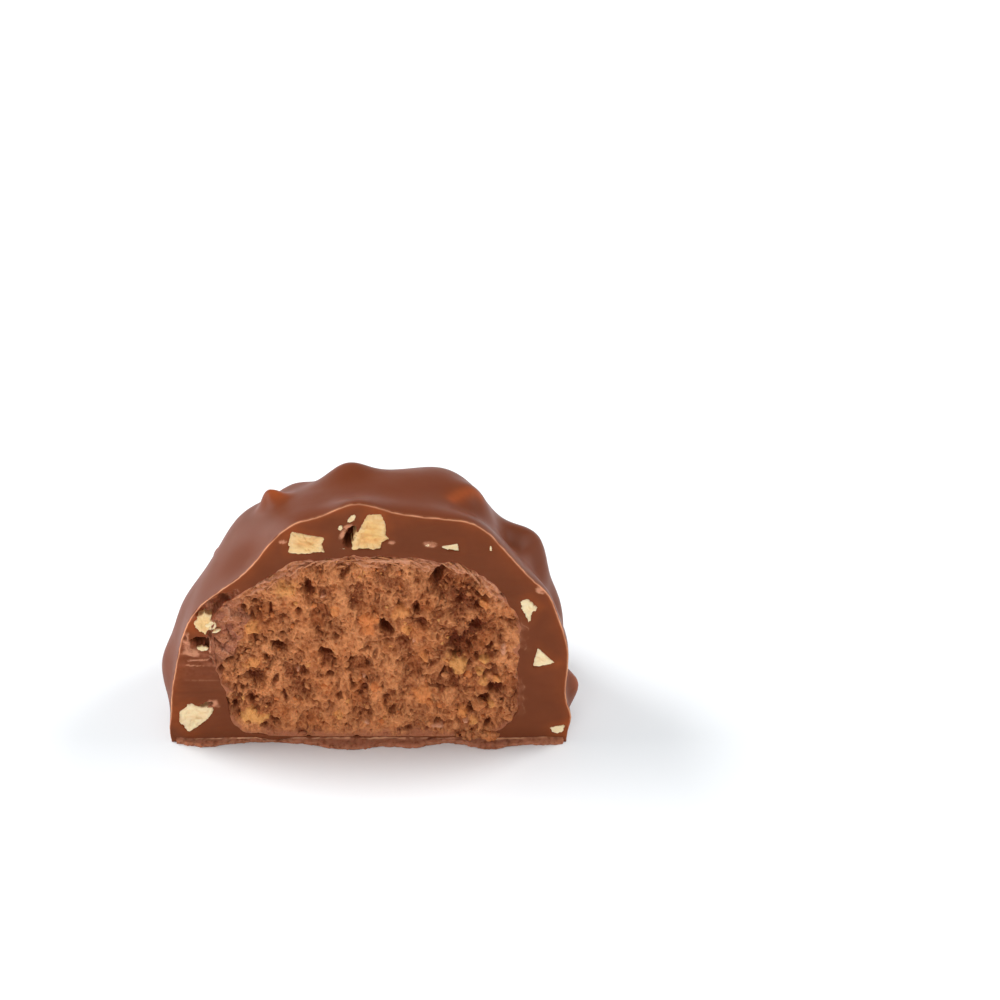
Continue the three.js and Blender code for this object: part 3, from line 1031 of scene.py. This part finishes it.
def cut_relief(x, z, inside):
    """Depth of the cut chocolate behind the knife cut, and its masks. inside is the distance
    from the edges of the cut."""
    left = smoothstep(-10.5, -12.5, x)
    depth = 0.05 * swells(x, z, 4.5, 2) + 0.02 * swells(x, z, 1.3, 6)
    depth = depth + (0.01 + 0.04 * left * smoothstep(11, 8, z)) * swells(x / 9, z, 0.32, 4)
    crumbled = broken(x, z)
    smear = np.maximum(crumbled, smoothstep(1.5, 0.9, in_oval(x, z, RECESS)))
    chunk, gap, ridge, tone = chunk_relief(x, z)
    depth = depth * (1 - smear) + smear * chunk
    # Painted shade in the gaps of the broken chocolate and in the voids.
    hollow = 0.3 * smear * gap
    ragged = 0.55 * rough(x, z, 0.6, 4, 12)
    for void in SHELL_VOIDS:
        share = smoothstep(1.2, 0.75, in_oval(x, z, void) + ragged)
        depth = depth + void[5] * share
        hollow = np.maximum(hollow, share * min(1, 0.2 + 0.8 * void[5] ** 2))
    scratch = smoothstep(0.3, 0.9, swells(x / 12 + 0.03 * z, z, 0.24, 44))
    film = 0.4 * scratch * left * smoothstep(5.0, 7.0, z) * smoothstep(10.0, 9.0, z)
    film = np.maximum(film, np.maximum(0.6 * smear * ridge, 0.12 * crumbled))
    ragged = 0.5 * rough(x, z, 0.5, 3, 14)
    raised = 0.05 + 0.05 * rough(x, z, 0.3, 2, 15)
    for oval in SHELL_FILMS:
        share = smoothstep(1.2, 0.6, in_oval(x, z, oval) + ragged)
        depth = depth - share * raised
        film = np.maximum(film, share)
    nut = np.zeros(np.shape(x))
    for node in NUT_NODES:
        away = outside_of(x, z, nut_outline(node))
        nut = np.maximum(nut, smoothstep(0.9, 0.0, away))
        depth = depth + 0.35 * smoothstep(-0.04, -0.2, away)
    haze = left * smoothstep(5.0, 8.5, z) * smoothstep(10.4, 9.6, z)
    haze = haze * (0.5 + 0.4 * swells(x / 8, z, 0.3, 45) + 0.2 * rough(x, z, 0.8, 3, 46))
    smear = np.clip(np.maximum(smear * tone, haze), 0, 1)
    masks = {"smear": smear, "hollow": hollow, "film": film * 0.8, "near_nut": nut}
    return depth * smoothstep(0.05, 0.35, inside), masks


def cut_sheet(lip, outer):
    """Cut face from the lip, outer, to the edge of the filling. With it come the angles of its
    columns."""
    around = np.degrees(np.arctan2(outer[:, 2] - filling_middle(), outer[:, 0]))
    inner = np.stack(filling_outline(around, 0.05), axis=-1)
    start = outer[:, [0, 2]]
    even = np.linspace(FIRST_EVEN_ROW * lip, SHELL_THICKNESS - 0.2, EVEN_ROWS)
    distance = np.concatenate([NEAR_ROWS * lip, even, LAST_ROWS])[:, None]
    share = distance / SHELL_THICKNESS
    x, z = (start[:, i] * (1 - share) + inner[:, i] * share for i in (0, 1))
    thickness = np.linalg.norm(inner - start, axis=1)
    from_lip, to_filling = share * thickness, (1 - share) * thickness
    depth, masks = cut_relief(x, z, np.minimum(from_lip, to_filling))
    # The lip is round, a faint ridge follows it, and the edge at the filling lies a little back.
    depth[0] = rounded_lip(45, lip)[0]
    depth[1] += rounded_lip(67.5, lip)[0]
    depth[3] -= 0.02
    depth[-1] += 0.04
    ragged = 0.7 + 0.3 * rough(x, z, 0.8, 3, 21)
    above = smoothstep(1.0, 3.0, z)
    # Painted glow of the cut near its lip and around the nut pieces.
    glow = 0.65 * np.exp(-from_lip / 0.65) * above
    glow = glow + 0.9 * masks.pop("near_nut") * np.exp(-from_lip / 1.5)
    masks["toffee"] = np.clip(glow, 0, 0.9)
    # The edge mask is a painted highlight along the lip.
    masks["edge"] = np.exp(-((from_lip / 0.07) ** 2)) * np.clip(ragged, 0, 1) * above
    right = smoothstep(2.5, 4.0, z) * smoothstep(13.0, 11.0, z) * (x > 0)
    wander = 0.35 + 0.45 * rough(0.3 * x, z, 1.4, 4, 33)
    line = np.exp(-(((to_filling - wander) / 0.06) ** 2)) + 0.6 * np.exp(-to_filling / 0.3)
    faint = smoothstep(-0.3, 0.6, rough(x, z, 1.2, 3, 35))
    masks["film"] = np.maximum(masks["film"], 0.5 * right * np.clip(line * faint, 0, 1))
    masks["cut"] = np.broadcast_to(np.minimum(1, distance / lip), x.shape)
    return sheet(np.stack([x, CUT_Y + depth, z], axis=-1), masks, closed=True), around


def make_shell(shape):
    dome = dome_sheet(shape)
    base = base_sheet(dome[0])
    outer = np.concatenate([dome[0][0], base[0][0, ::-1][1:-1]])
    cut, around = cut_sheet(shape.lip / MM, outer)
    pocket = rear_sheet(around, cut[0][-1], (1.5, 4, *REAR_ROWS), POCKET_GAP, {"cut": 1.0})
    sheets = [dome, base, cut, pocket]
    add_welded("chocolate_coating", sheets, "milk_chocolate", ["chocolate_shell"])


# The crumbly filling

def lower_right(x, z):
    """1 in the corner where the crumbs are largest and loosest."""
    return smoothstep(4, 8, x) * smoothstep(10, 7, z)


def crumb_relief(x, z, crumbs):
    """Crumbs with grains on them, with pores and cracks: their depth, the painted shade in their
    gaps, pores and cracks, and each grain's own seed."""
    bend_x = x + 0.4 * rough(x, z, 1.2, 4, 31)
    bend_z = 0.8 * z + 0.4 * rough(x, z, 1.2, 4, 37)
    loose = np.maximum(lower_right(x, z), smoothstep(-6, -9, x))
    nearest, second, own = cells(bend_x, bend_z, crumbs.crumb / MM)
    gap = smoothstep(0.16, 0.0, second - nearest) * smoothstep(0.4, 0.9, scatter(own + 3))
    gap = gap * (0.45 + 0.55 * loose)
    depth = 0.2 + 0.26 * nearest**1.5 + 0.22 * (scatter(own + 29) - 0.5) + 0.4 * gap
    small, next_small, grain = cells(bend_x * 1.1, bend_z * 1.1, crumbs.grain / MM, 400, 1.0)
    seam = smoothstep(0.25, 0.0, next_small - small) * scatter(grain + 9)
    depth = depth + (0.07 * small**1.5 + 0.1 * (scatter(grain + 29) - 0.5)) * (0.6 + loose)
    depth = depth + 0.08 * seam * (0.4 + loose)
    depth = depth - 0.38 * rough(x, z * 0.65, 1.7, 5, 47) - 0.27 * rough(x, z * 0.7, 0.5, 3, 49)
    hollow = 0.45 * gap + 0.2 * seam * loose
    pore_x = 1.3 * bend_x + 0.12 * rough(x, z, 0.35, 2, 41)
    pore_z = bend_z + 0.12 * rough(x, z, 0.35, 2, 43)
    for size, share, salt in ((1.6, 0.25, 601), (0.85, 0.45, 701), (0.45, 0.65, 801)):
        near, _, own = cells(pore_x, pore_z, size, salt, 1.0)
        reach = 0.1 + 0.19 * scatter(own + 2)
        pore = smoothstep(reach, 0.4 * reach, near) * (scatter(own + 8) < share)
        pore = pore * (0.35 + 0.65 * scatter(own + 4))
        depth = depth + 0.4 * size**0.6 * pore
        hollow = hollow + 0.45 * pore
    crack = smoothstep(0.07, 0.0, np.abs(rough(x * 2.0, z * 0.6, 1.5, 3, 53)))
    crack = crack * smoothstep(0.0, 0.4, rough(x, z, 2.4, 2, 59))
    return depth + 0.3 * crack, hollow + 0.35 * crack, grain


def with_bits_and_pits(x, z, depth, hollow):
    """The relief with what stands out of it and what is sunk in it at its own place, and where
    the yellow and the orange bits are."""
    yellow = np.zeros(np.shape(x))
    orange = np.zeros(np.shape(x))
    uneven = 0.5 * rough(x, z, 0.7, 3, 67)
    for bit in BITS:
        ragged = in_oval(x, z, bit) + uneven
        share = smoothstep(1.15, 0.6, ragged)
        depth = depth * (1 - 0.5 * share) - 0.12 * share + 0.3 * share * ragged**2
        hollow = hollow * (1 - 0.6 * share)
        yellow = np.maximum(yellow, share * bit[5])
        orange = np.maximum(orange, share * (1 - bit[5]))
    uneven = 0.55 * rough(x, z, 0.9, 5, 71)
    for pit in PITS:
        soft = 0.5 * min(1, pit[2] * pit[3] / 0.6)
        share = smoothstep(1.3 + soft, 0.5 - soft, in_oval(x, z, pit) + uneven)
        depth = depth + 0.75 * pit[5] * share
        # Painted shade in the pits.
        hollow = hollow + (0.8 - 0.7 * soft) * share
    return depth, hollow, yellow, orange


def with_film(x, z, inside, depth, hollow):
    """The relief with the layers of film under the shell, the pale specks and the painted glints,
    and where they are."""
    top = smoothstep(12.5, 15.5, z)
    film = smoothstep(1.5, 0.6, inside + 0.7 * rough(x, z, 1.3, 3, 73)) * (0.1 + 0.9 * top)
    layers = np.abs(np.modf(inside * 2.4 + 1.1 * rough(x * 0.6, z, 1.6, 4, 79) + 9)[0] - 0.5) * 2
    depth = depth * (1 - 0.7 * film) + film * (0.05 + 0.22 * layers)
    # Painted shade between the layers of film.
    hollow = hollow * (1 - 0.6 * film) + 0.3 * film * smoothstep(0.8, 1.0, layers)
    film = film * (0.25 + 0.6 * smoothstep(0.5, 0.1, layers))
    uneven = 0.4 * rough(x, z, 0.4, 2, 87)
    for speck_or_glint in PALE_SPECKS_AND_GLINTS:
        share = smoothstep(1.2, 0.6, in_oval(x, z, speck_or_glint) + uneven)
        depth = depth * (1 - share)
        hollow = hollow * (1 - share)
        film = np.maximum(film, share)
    return depth, hollow, film


def filling_relief(x, z, inside, crumbs):
    """Depth behind the knife cut and the masks of the crumbly face. inside is the distance from
    the filling's edge."""
    depth, hollow, grain = crumb_relief(x, z, crumbs)
    depth, hollow, yellow, orange = with_bits_and_pits(x, z, depth, hollow)
    chunk, gap, ridge, chunk_tone = chunk_relief(x, z)
    smear = broken(x, z)
    depth = depth * (1 - smear) + smear * chunk
    hollow = hollow * (1 - smear) + 0.85 * smear * gap
    width = 0.35 + 0.5 * smoothstep(2.4, 1.2, z) * smoothstep(8.0, 6.0, x)
    border = smoothstep(width, 0.0, inside + 0.45 * rough(x, z, 0.7, 4, 61)) * (1 - smear)
    depth = depth * (1 - border) + 0.01 * border
    depth, hollow, film = with_film(x, z, inside, depth, hollow * (1 - border))
    tone = 0.5 + 0.42 * (scatter(grain + 5) - 0.5) + 0.5 * rough(x, z * 0.8, 1.3, 5, 90)
    # Painted shade darkens the broad valley.
    tone = tone + 0.26 * smoothstep(-4, -9, x) - 0.2 * smoothstep(1.2, 0.5, in_oval(x, z, SHADE))
    return depth, {
        # tone is random tone with painted shade that darkens the deeper crumbs and lightens the
        # raised ones.
        "tone": np.clip(tone + 1.15 * (0.22 - depth), 0, 1),
        "toast": np.clip(0.3 * rough(x, z, 1.4, 3, 93) + 0.8 * orange, 0, 1),
        "yellow": 0.9 * yellow,
        "smear": np.clip(np.maximum(smear * chunk_tone, 0.8 * border), 0, 1),
        "film": np.maximum(film, smear * (0.12 + 0.75 * ridge)),
        # Painted shade in pits, pores and cracks, and more of it the deeper the face lies.
        "hollow": np.clip(hollow * 0.8 + 0.5 * smoothstep(0.4, 1.1, depth), 0, 0.9),
    }


def face_sheet(shape, crumbs):
    """The crumbly cut face: a square grid drawn out to the filling's outline. With it come the
    angles of its points."""
    height = shape.filling_above + shape.filling_below
    columns = round(2 * shape.filling_half_width / MM / (crumbs.step / MM))
    rows = round(height / MM / (crumbs.step / MM))
    across, up = np.meshgrid(np.linspace(-1, 1, columns + 1), np.linspace(-1, 1, rows + 1))
    around = np.degrees(np.arctan2(up * (height / 2 / shape.filling_half_width), across))
    x, z, inside = inside_outline(around, np.maximum(np.abs(across), np.abs(up)), 0.12)
    depth, masks = filling_relief(x, z, inside, crumbs)
    return sheet(np.stack([x, CUT_Y + depth, z], axis=-1), masks), around


def outer_ring(values):
    """The values round the rim of a grid, in order."""
    return np.concatenate([values[0, :-1], values[:-1, -1], values[-1, :0:-1], values[:0:-1, 0]])


def make_filling(shape, crumbs):
    face, around = face_sheet(shape, crumbs)
    rim = outer_ring(face[0])
    body = rear_sheet(outer_ring(around), rim, (4.5, *REAR_ROWS), 0, {"tone": 0.4})
    add_welded("praline_filling_cut", [face, body], "praline", ["praline_filling"])


def grain_form():
    """Points and faces of a small ball, the start of every loose grain."""
    form = bmesh.new()
    bmesh.ops.create_icosphere(form, subdivisions=2, radius=1)
    points = np.array([vertex.co for vertex in form.verts])
    faces = np.array([[vertex.index for vertex in face.verts] for face in form.faces])
    form.free()
    return points, faces


def turned(points, seed):
    """Each set of points turned its own way."""
    yaw, pitch = 2 * np.pi * scatter(seed + 83), np.pi * scatter(seed + 89)
    x, y, z = points[..., 0], points[..., 1], points[..., 2]
    yaw, pitch = yaw[:, None], pitch[:, None]
    x, y = x * np.cos(yaw) - y * np.sin(yaw), x * np.sin(yaw) + y * np.cos(yaw)
    y, z = y * np.cos(pitch) - z * np.sin(pitch), y * np.sin(pitch) + z * np.cos(pitch)
    return np.stack([x, y, z], axis=-1)


def lumpy_grains(middles, sizes, seed):
    """Irregular grains of these sizes round these middles, as points and faces."""
    ball, faces = grain_form()
    count = len(middles)
    knobs = 0.6 * (scatter(np.arange(count)[:, None] * 7 + np.arange(len(ball)) * 3.7) - 0.5)
    points = ball[None] * (1 + knobs[..., None])
    squeeze = np.stack([scatter(seed + 97), scatter(seed + 101), scatter(seed + 103)], axis=-1)
    points = turned(points * (0.5 + 0.8 * squeeze)[:, None], seed)
    points = points * sizes[:, None, None] + middles[:, None]
    return points, (faces[None] + (np.arange(count) * len(ball))[:, None, None]).reshape(-1, 3)


def make_loose_grains(crumbs):
    number = np.arange(crumbs.loose + crumbs.spill)
    loose, spilled = number[: crumbs.loose], number[crumbs.loose :]
    share = np.sqrt(scatter(loose + 0.7)) * 0.985
    x, z, inside = inside_outline(360 * scatter(loose + 0.1), share)
    turn = 2 * np.pi * scatter(spilled + 0.1)
    reach = np.sqrt(scatter(spilled + 0.7))
    middle_x, middle_z, half_width, half_height = SPILL
    x = np.append(x, middle_x + half_width * reach * np.cos(turn))
    z = np.append(z, middle_z + half_height * reach * np.sin(turn))
    inside = np.append(inside, np.full(len(spilled), 0.6))
    depth, masks = filling_relief(x, z, inside, crumbs)
    depth[spilled] = 0.02
    sizes = crumbs.loose_size / MM * (0.5 + 1.1 * scatter(number + 0.3) ** 2)
    sizes = sizes * (1 + 0.8 * lower_right(x, z))
    sizes[spilled] *= 1.1
    y = CUT_Y + np.maximum(depth, -0.02) + 0.1 * sizes
    points, faces = lumpy_grains(np.stack([x, y, z], axis=-1), sizes, number)
    pale = smoothstep(0.94, 0.97, scatter(number + 0.9))
    toasted = smoothstep(0.85, 0.95, scatter(number + 0.6))
    masks = {
        "tone": 0.35 * masks["tone"] + 0.65 * scatter(number + 0.5),
        "toast": np.maximum(0.9 * masks["toast"], 0.6 * toasted),
        "yellow": np.maximum(masks["yellow"] * 0.9, 0.6 * pale),
        "film": masks["film"] * 0.7,
        "smear": masks["smear"],
        # The grains take on the painted shade of the filling under them.
        "hollow": 0.8 * smoothstep(0.5, 1.0, masks["hollow"]),
    }
    masks = {name: np.repeat(values, points.shape[1]) for name, values in masks.items()}
    add_piece("praline_grains", points.reshape(-1, 3), [faces], masks, "praline", [])


def make_flakes(crumbs):
    """Thin curled flakes of chocolate film where the filling meets the shell."""
    number = np.arange(crumbs.flakes)
    around = FLAKES_FROM + FLAKES_SPAN * (number + scatter(number + 0.2)) / len(number)
    inside = 0.1 + 0.75 * scatter(number + 0.4) ** 1.5
    edge_x, edge_z = filling_outline(around)
    middle = filling_middle()
    share = 1 - inside / np.hypot(edge_x, edge_z - middle)
    long = 0.3 + 0.6 * scatter(number + 0.6)
    broad = 0.035 + 0.05 * scatter(number + 0.8)
    along, across = np.meshgrid(np.linspace(-1, 1, 9), np.linspace(-1, 1, 5), indexing="ij")
    taper = np.sqrt(np.maximum(0.0, 1 - along**2)) * 0.9 + 0.1
    sheets = []
    for i in number:
        ragged = 1 + 0.3 * swells(along * 2 + 9 * i, across, 1.0, 5)
        lift = 0.06 * along**2 + 0.05 * across * (scatter(i + 0.9) - 0.3)
        angle = math.radians(around[i] - 90) + 0.2 * (float(scatter(i + 0.15)) - 0.5)
        right, up = tilted(long[i] * along, broad[i] * across * taper * ragged, angle)
        x = edge_x[i] * share[i] + right
        z = middle + (edge_z[i] - middle) * share[i] + up
        front = np.stack([x, CUT_Y + 0.04 - lift, z], axis=-1)
        rear = front + (0, 0.05, 0)
        loop = np.stack([outer_ring(front), outer_ring(rear)])
        sheets += [sheet(front, {}), (rear, grid(*along.shape)[:, ::-1], {})]
        sheets.append(sheet(loop, {}, closed=True))
    points, faces, _ = join(sheets)
    film = 0.3 + 0.3 * swells(points[:, 0], points[:, 2], 1.4, 5)
    flakes = (points, faces, {"film": film, "tone": 0.6})
    add_welded("film_flakes", [flakes], "praline", [])


# The nut pieces

def rough_outline(corners, ragged, seed):
    """A closed outline with evenly spaced points, softened and made uneven."""
    closed = np.vstack([corners, corners[:1]])
    lengths = np.hypot(*np.diff(closed, axis=0).T)
    way = np.concatenate([[0], np.cumsum(lengths)])
    count = max(24, round(way[-1] / NUT_POINT_STEP))
    at = np.arange(count) * way[-1] / count
    outline = np.stack([np.interp(at, way, closed[:, i]) for i in (0, 1)], axis=-1)
    for _ in range(2):
        outline = (np.roll(outline, 1, axis=0) + 2 * outline + np.roll(outline, -1, axis=0)) / 4
    middle = outline.mean(axis=0)
    away = outline - middle
    away /= np.linalg.norm(away, axis=1, keepdims=True)
    turn = 2 * np.pi * np.arange(count) / count
    uneven = swells(seed + 6 * np.cos(turn), 6 * np.sin(turn), 1.0, seed)
    uneven = uneven + 0.6 * swells(seed + 12 * np.cos(turn), 12 * np.sin(turn), 1.0, seed)
    return outline + ragged * uneven[:, None] * away


def nut_sheet(corners, depth, seed, warm, ragged):
    """A nut piece: cut face, sides that narrow to the back, and the back."""
    outline = rough_outline(corners, ragged, seed)
    middle = outline.mean(axis=0)
    share = np.linspace(0, 1, NUT_FACE_ROWS)[:, None]
    deep, wide = np.array(NUT_SIDES).T[:, :, None]
    flat = middle + np.concatenate([share, wide])[:, :, None] * (outline - middle)
    x, z = flat[..., 0], flat[..., 1]
    face_x, face_z = x[:NUT_FACE_ROWS], z[:NUT_FACE_ROWS]
    relief = 0.1 * rough(face_x, face_z, 0.8, 4, seed)
    relief = relief + 0.07 * rough(face_x, face_z * 2.2, 0.5, 3, seed + 1)
    chipped = 0.14 * smoothstep(0.2, 0.4, rough(face_x, face_z, 0.9, 3, seed + 2))
    face = CUT_Y - 0.03 + (relief + chipped) * (1 - 0.4 * share) + 0.1 * share**8
    y = np.concatenate([face, CUT_Y + depth * deep + 0 * x[NUT_FACE_ROWS:]])
    masks = {
        "skin": np.concatenate([0.5 * share**14, 0.7 + 0 * deep]) + 0 * x,
        "rim": np.concatenate([share**3, 1 + 0 * deep]) + 0 * x,
        "warm": warm,
    }
    return sheet(np.stack([x, y, z], axis=-1), masks, closed=True)


def make_nuts():
    for seed, node in enumerate(NUT_NODES):
        low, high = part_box(node)
        depth = (high.y - low.y) / MM
        warm = WARM_NUTS.get(node, PALE_NUT)
        piece = nut_sheet(nut_outline(node), depth, 10 * seed + 3, warm, 0.11)
        add_welded(node.replace("hazelnut", "nut_piece"), [piece], "hazelnut", [node])


def make_nut_chips():
    turn = np.linspace(0, 2 * np.pi, 12, endpoint=False)
    sheets = []
    for seed, (x, z, half_width, half_height, tilt) in enumerate(NUT_CHIPS):
        oval = half_width * np.cos(turn), half_height * np.sin(turn)
        corners = np.stack(tilted(*oval, math.radians(tilt)), axis=-1) + (x, z)
        sheets.append(nut_sheet(corners, CHIP_DEPTH, 7 * seed + 5, 0.2, 0.04))
    add_welded("nut_chips", sheets, "hazelnut", [])


# The broken rim under the cut

def rim_reach(x):
    """How far the rim juts out in front of the cut."""
    reach = 0.06 + 0.05 * swells(x, 0, 0.5, 15) + 0.05 * swells(x, 0, 0.18, 16)
    for middle, width, tongue in RIM_TONGUES:
        reach = reach + tongue * np.exp(-(((x - middle) / width) ** 2))
    return reach


def make_rim():
    """Strip of coating that broke off unevenly and juts out under the cut."""
    x = np.linspace(-RIM_HALF_LENGTH, RIM_HALF_LENGTH, RIM_COLUMNS)
    reach = rim_reach(x)
    notch = 1 - 0.65 * np.exp(-(((x - RIM_NOTCH[0]) / RIM_NOTCH[1]) ** 2))
    swell = 1 + 0.12 * swells(x, 0, 1.4, 60)
    broken_up = swells(x, 0, 1.1, 80) + 0.7 * swells(x, 0, 0.3, 81)
    rows, edge = [], []
    for i, (behind, share, height) in enumerate(RIM_PROFILE):
        loose = 0.05 * (height > 0)
        y = CUT_Y + behind - share * reach + loose * swells(x, height * 4, 0.28, 20 + i)
        z = height * swell * notch + loose * swells(x, 0, 0.4, 40 + i)
        rows.append(np.stack([x, y, np.maximum(z, 0)], axis=-1))
        # A painted highlight along the top of the broken rim.
        pale = smoothstep(0.4, 0.45, height) * (behind < 0.4)
        edge.append(pale * smoothstep(-0.6, 0.5, broken_up) * 0.75)
    points = np.array(rows)
    for end in (0, -1):
        points[:, end, 1:] = points[:, end, 1:].mean(axis=0)
    masks = {"edge": np.array(edge), "cut": 1.0, "smear": 0.9, "film": 0.3}
    faces = grid(len(rows) + 1, len(x)) % (len(rows) * len(x))
    strip = (points, faces, masks)
    add_welded("broken_rim", [strip], "milk_chocolate", ["chocolate_shell"])


# The studio

def aim(thing, target):
    thing.rotation_mode = "QUATERNION"
    thing.rotation_quaternion = (Vector(target) - thing.location).to_track_quat("-Z", "Y")


def make_camera(studio):
    data = bpy.data.cameras.new("camera")
    camera = bpy.data.objects.new("camera", data)
    bpy.context.scene.collection.objects.link(camera)
    forward = Vector((0, math.cos(studio.elevation), -math.sin(studio.elevation)))
    up = Vector((0, math.sin(studio.elevation), math.cos(studio.elevation)))
    target = Vector((studio.aim_right, CUT_Y * MM, 0)) + studio.aim_up * up
    camera.location = target - studio.distance * forward
    aim(camera, target)
    data.lens = data.sensor_width * studio.distance / studio.field
    bpy.context.scene.camera = camera


def make_light(name, place, size, power):
    data = bpy.data.lights.new(name, "AREA")
    data.shape = "DISK"
    data.size = size * MM
    data.energy = power
    light = bpy.data.objects.new(name, data)
    bpy.context.scene.collection.objects.link(light)
    light.location = Vector(place) * MM
    aim(light, Vector(LIT_POINT) * MM)


def make_floor(scene):
    mesh = bpy.data.meshes.new("floor")
    half = FLOOR_WIDTH * MM / 2
    corners = [(-half, -half, 0), (half, -half, 0), (half, half, 0), (-half, half, 0)]
    mesh.from_pydata(corners, [], [(0, 1, 2, 3)])
    mesh.materials.append(floor_finish(scene.praline_colours))
    floor = bpy.data.objects.new("floor", mesh)
    scene.collection.objects.link(floor)


def make_sky(scene):
    """White surroundings that are brightest just above the table."""
    colours, studio = scene.praline_colours, scene.praline_studio
    board = Board(bpy.data.worlds.new("white_surroundings"))
    direction = board.add("ShaderNodeTexCoord")
    height = board.add("ShaderNodeSeparateXYZ", sockets={0: direction}, out=2)
    strength = board.spread(height, 0.05, 0.3, studio.horizon, studio.sky)
    sky = {"Color": (*colours.sky, 1), "Strength": strength}
    background = board.add("ShaderNodeBackground", sockets=sky)
    board.add("ShaderNodeOutputWorld", sockets={"Surface": background})
    scene.world = board.owner


def make_stage(scene):
    make_camera(scene.praline_studio)
    make_floor(scene)
    make_sky(scene)
    for softbox in SOFTBOXES:
        make_light(*softbox)
    scene.view_settings.view_transform = "Standard"


# Operators, one for each piece or group of like pieces

class PRALINE_OT_shell(Operator):
    """Adds the milk chocolate coating with its cut face"""

    bl_idname = "praline.shell"
    bl_label = "Chocolate Coating"

    def execute(self, context):
        make_shell(context.scene.praline_shape)
        return {"FINISHED"}


class PRALINE_OT_rim(Operator):
    """Adds the broken rim under the cut"""

    bl_idname = "praline.rim"
    bl_label = "Broken Rim"

    def execute(self, context):
        make_rim()
        return {"FINISHED"}


class PRALINE_OT_filling(Operator):
    """Adds the crumbly filling"""

    bl_idname = "praline.filling"
    bl_label = "Filling"

    def execute(self, context):
        make_filling(context.scene.praline_shape, context.scene.praline_crumbs)
        return {"FINISHED"}


class PRALINE_OT_grains(Operator):
    """Adds the loose grains and film flakes on the cut filling"""

    bl_idname = "praline.grains"
    bl_label = "Loose Grains and Flakes"

    def execute(self, context):
        make_loose_grains(context.scene.praline_crumbs)
        make_flakes(context.scene.praline_crumbs)
        return {"FINISHED"}


class PRALINE_OT_nuts(Operator):
    """Adds the chopped hazelnut pieces and chips in the shell"""

    bl_idname = "praline.nuts"
    bl_label = "Hazelnut Pieces"

    def execute(self, context):
        make_nuts()
        make_nut_chips()
        return {"FINISHED"}


class PRALINE_OT_stage(Operator):
    """Adds the table top, the soft lights and the camera"""

    bl_idname = "praline.stage"
    bl_label = "Studio"

    def execute(self, context):
        make_stage(context.scene)
        return {"FINISHED"}


class PRALINE_PT_tools(Panel):
    """Lists the sizes, the colours and the pieces"""

    bl_idname = "PRALINE_PT_tools"
    bl_label = "Halved Praline"
    bl_space_type = "VIEW_3D"
    bl_region_type = "UI"
    bl_category = "Praline"

    def draw(self, context):
        layout = self.layout
        for group in PROPERTY_GROUPS:
            box = layout.box()
            settings = getattr(context.scene, group)
            for name in settings.__annotations__:
                box.prop(settings, name)
        for operator in OPERATORS:
            layout.operator(operator.bl_idname)


PROPERTY_GROUPS = {
    "praline_shape": PRALINE_PG_shape,
    "praline_crumbs": PRALINE_PG_crumbs,
    "praline_colours": PRALINE_PG_colours,
    "praline_studio": PRALINE_PG_studio,
}
OPERATORS = [
    PRALINE_OT_stage,
    PRALINE_OT_shell,
    PRALINE_OT_rim,
    PRALINE_OT_filling,
    PRALINE_OT_grains,
    PRALINE_OT_nuts,
]


def register():
    for name, group in PROPERTY_GROUPS.items():
        bpy.utils.register_class(group)
        setattr(bpy.types.Scene, name, PointerProperty(type=group))
    for operator in OPERATORS:
        bpy.utils.register_class(operator)
    bpy.utils.register_class(PRALINE_PT_tools)


def unregister():
    bpy.utils.unregister_class(PRALINE_PT_tools)
    for operator in reversed(OPERATORS):
        bpy.utils.unregister_class(operator)
    for name, group in reversed(PROPERTY_GROUPS.items()):
        delattr(bpy.types.Scene, name)
        bpy.utils.unregister_class(group)


def main():
    register()
    bpy.ops.praline.stage()
    bpy.ops.praline.shell()
    bpy.ops.praline.rim()
    bpy.ops.praline.filling()
    bpy.ops.praline.grains()
    bpy.ops.praline.nuts()


if __name__ == "__main__":
    main()
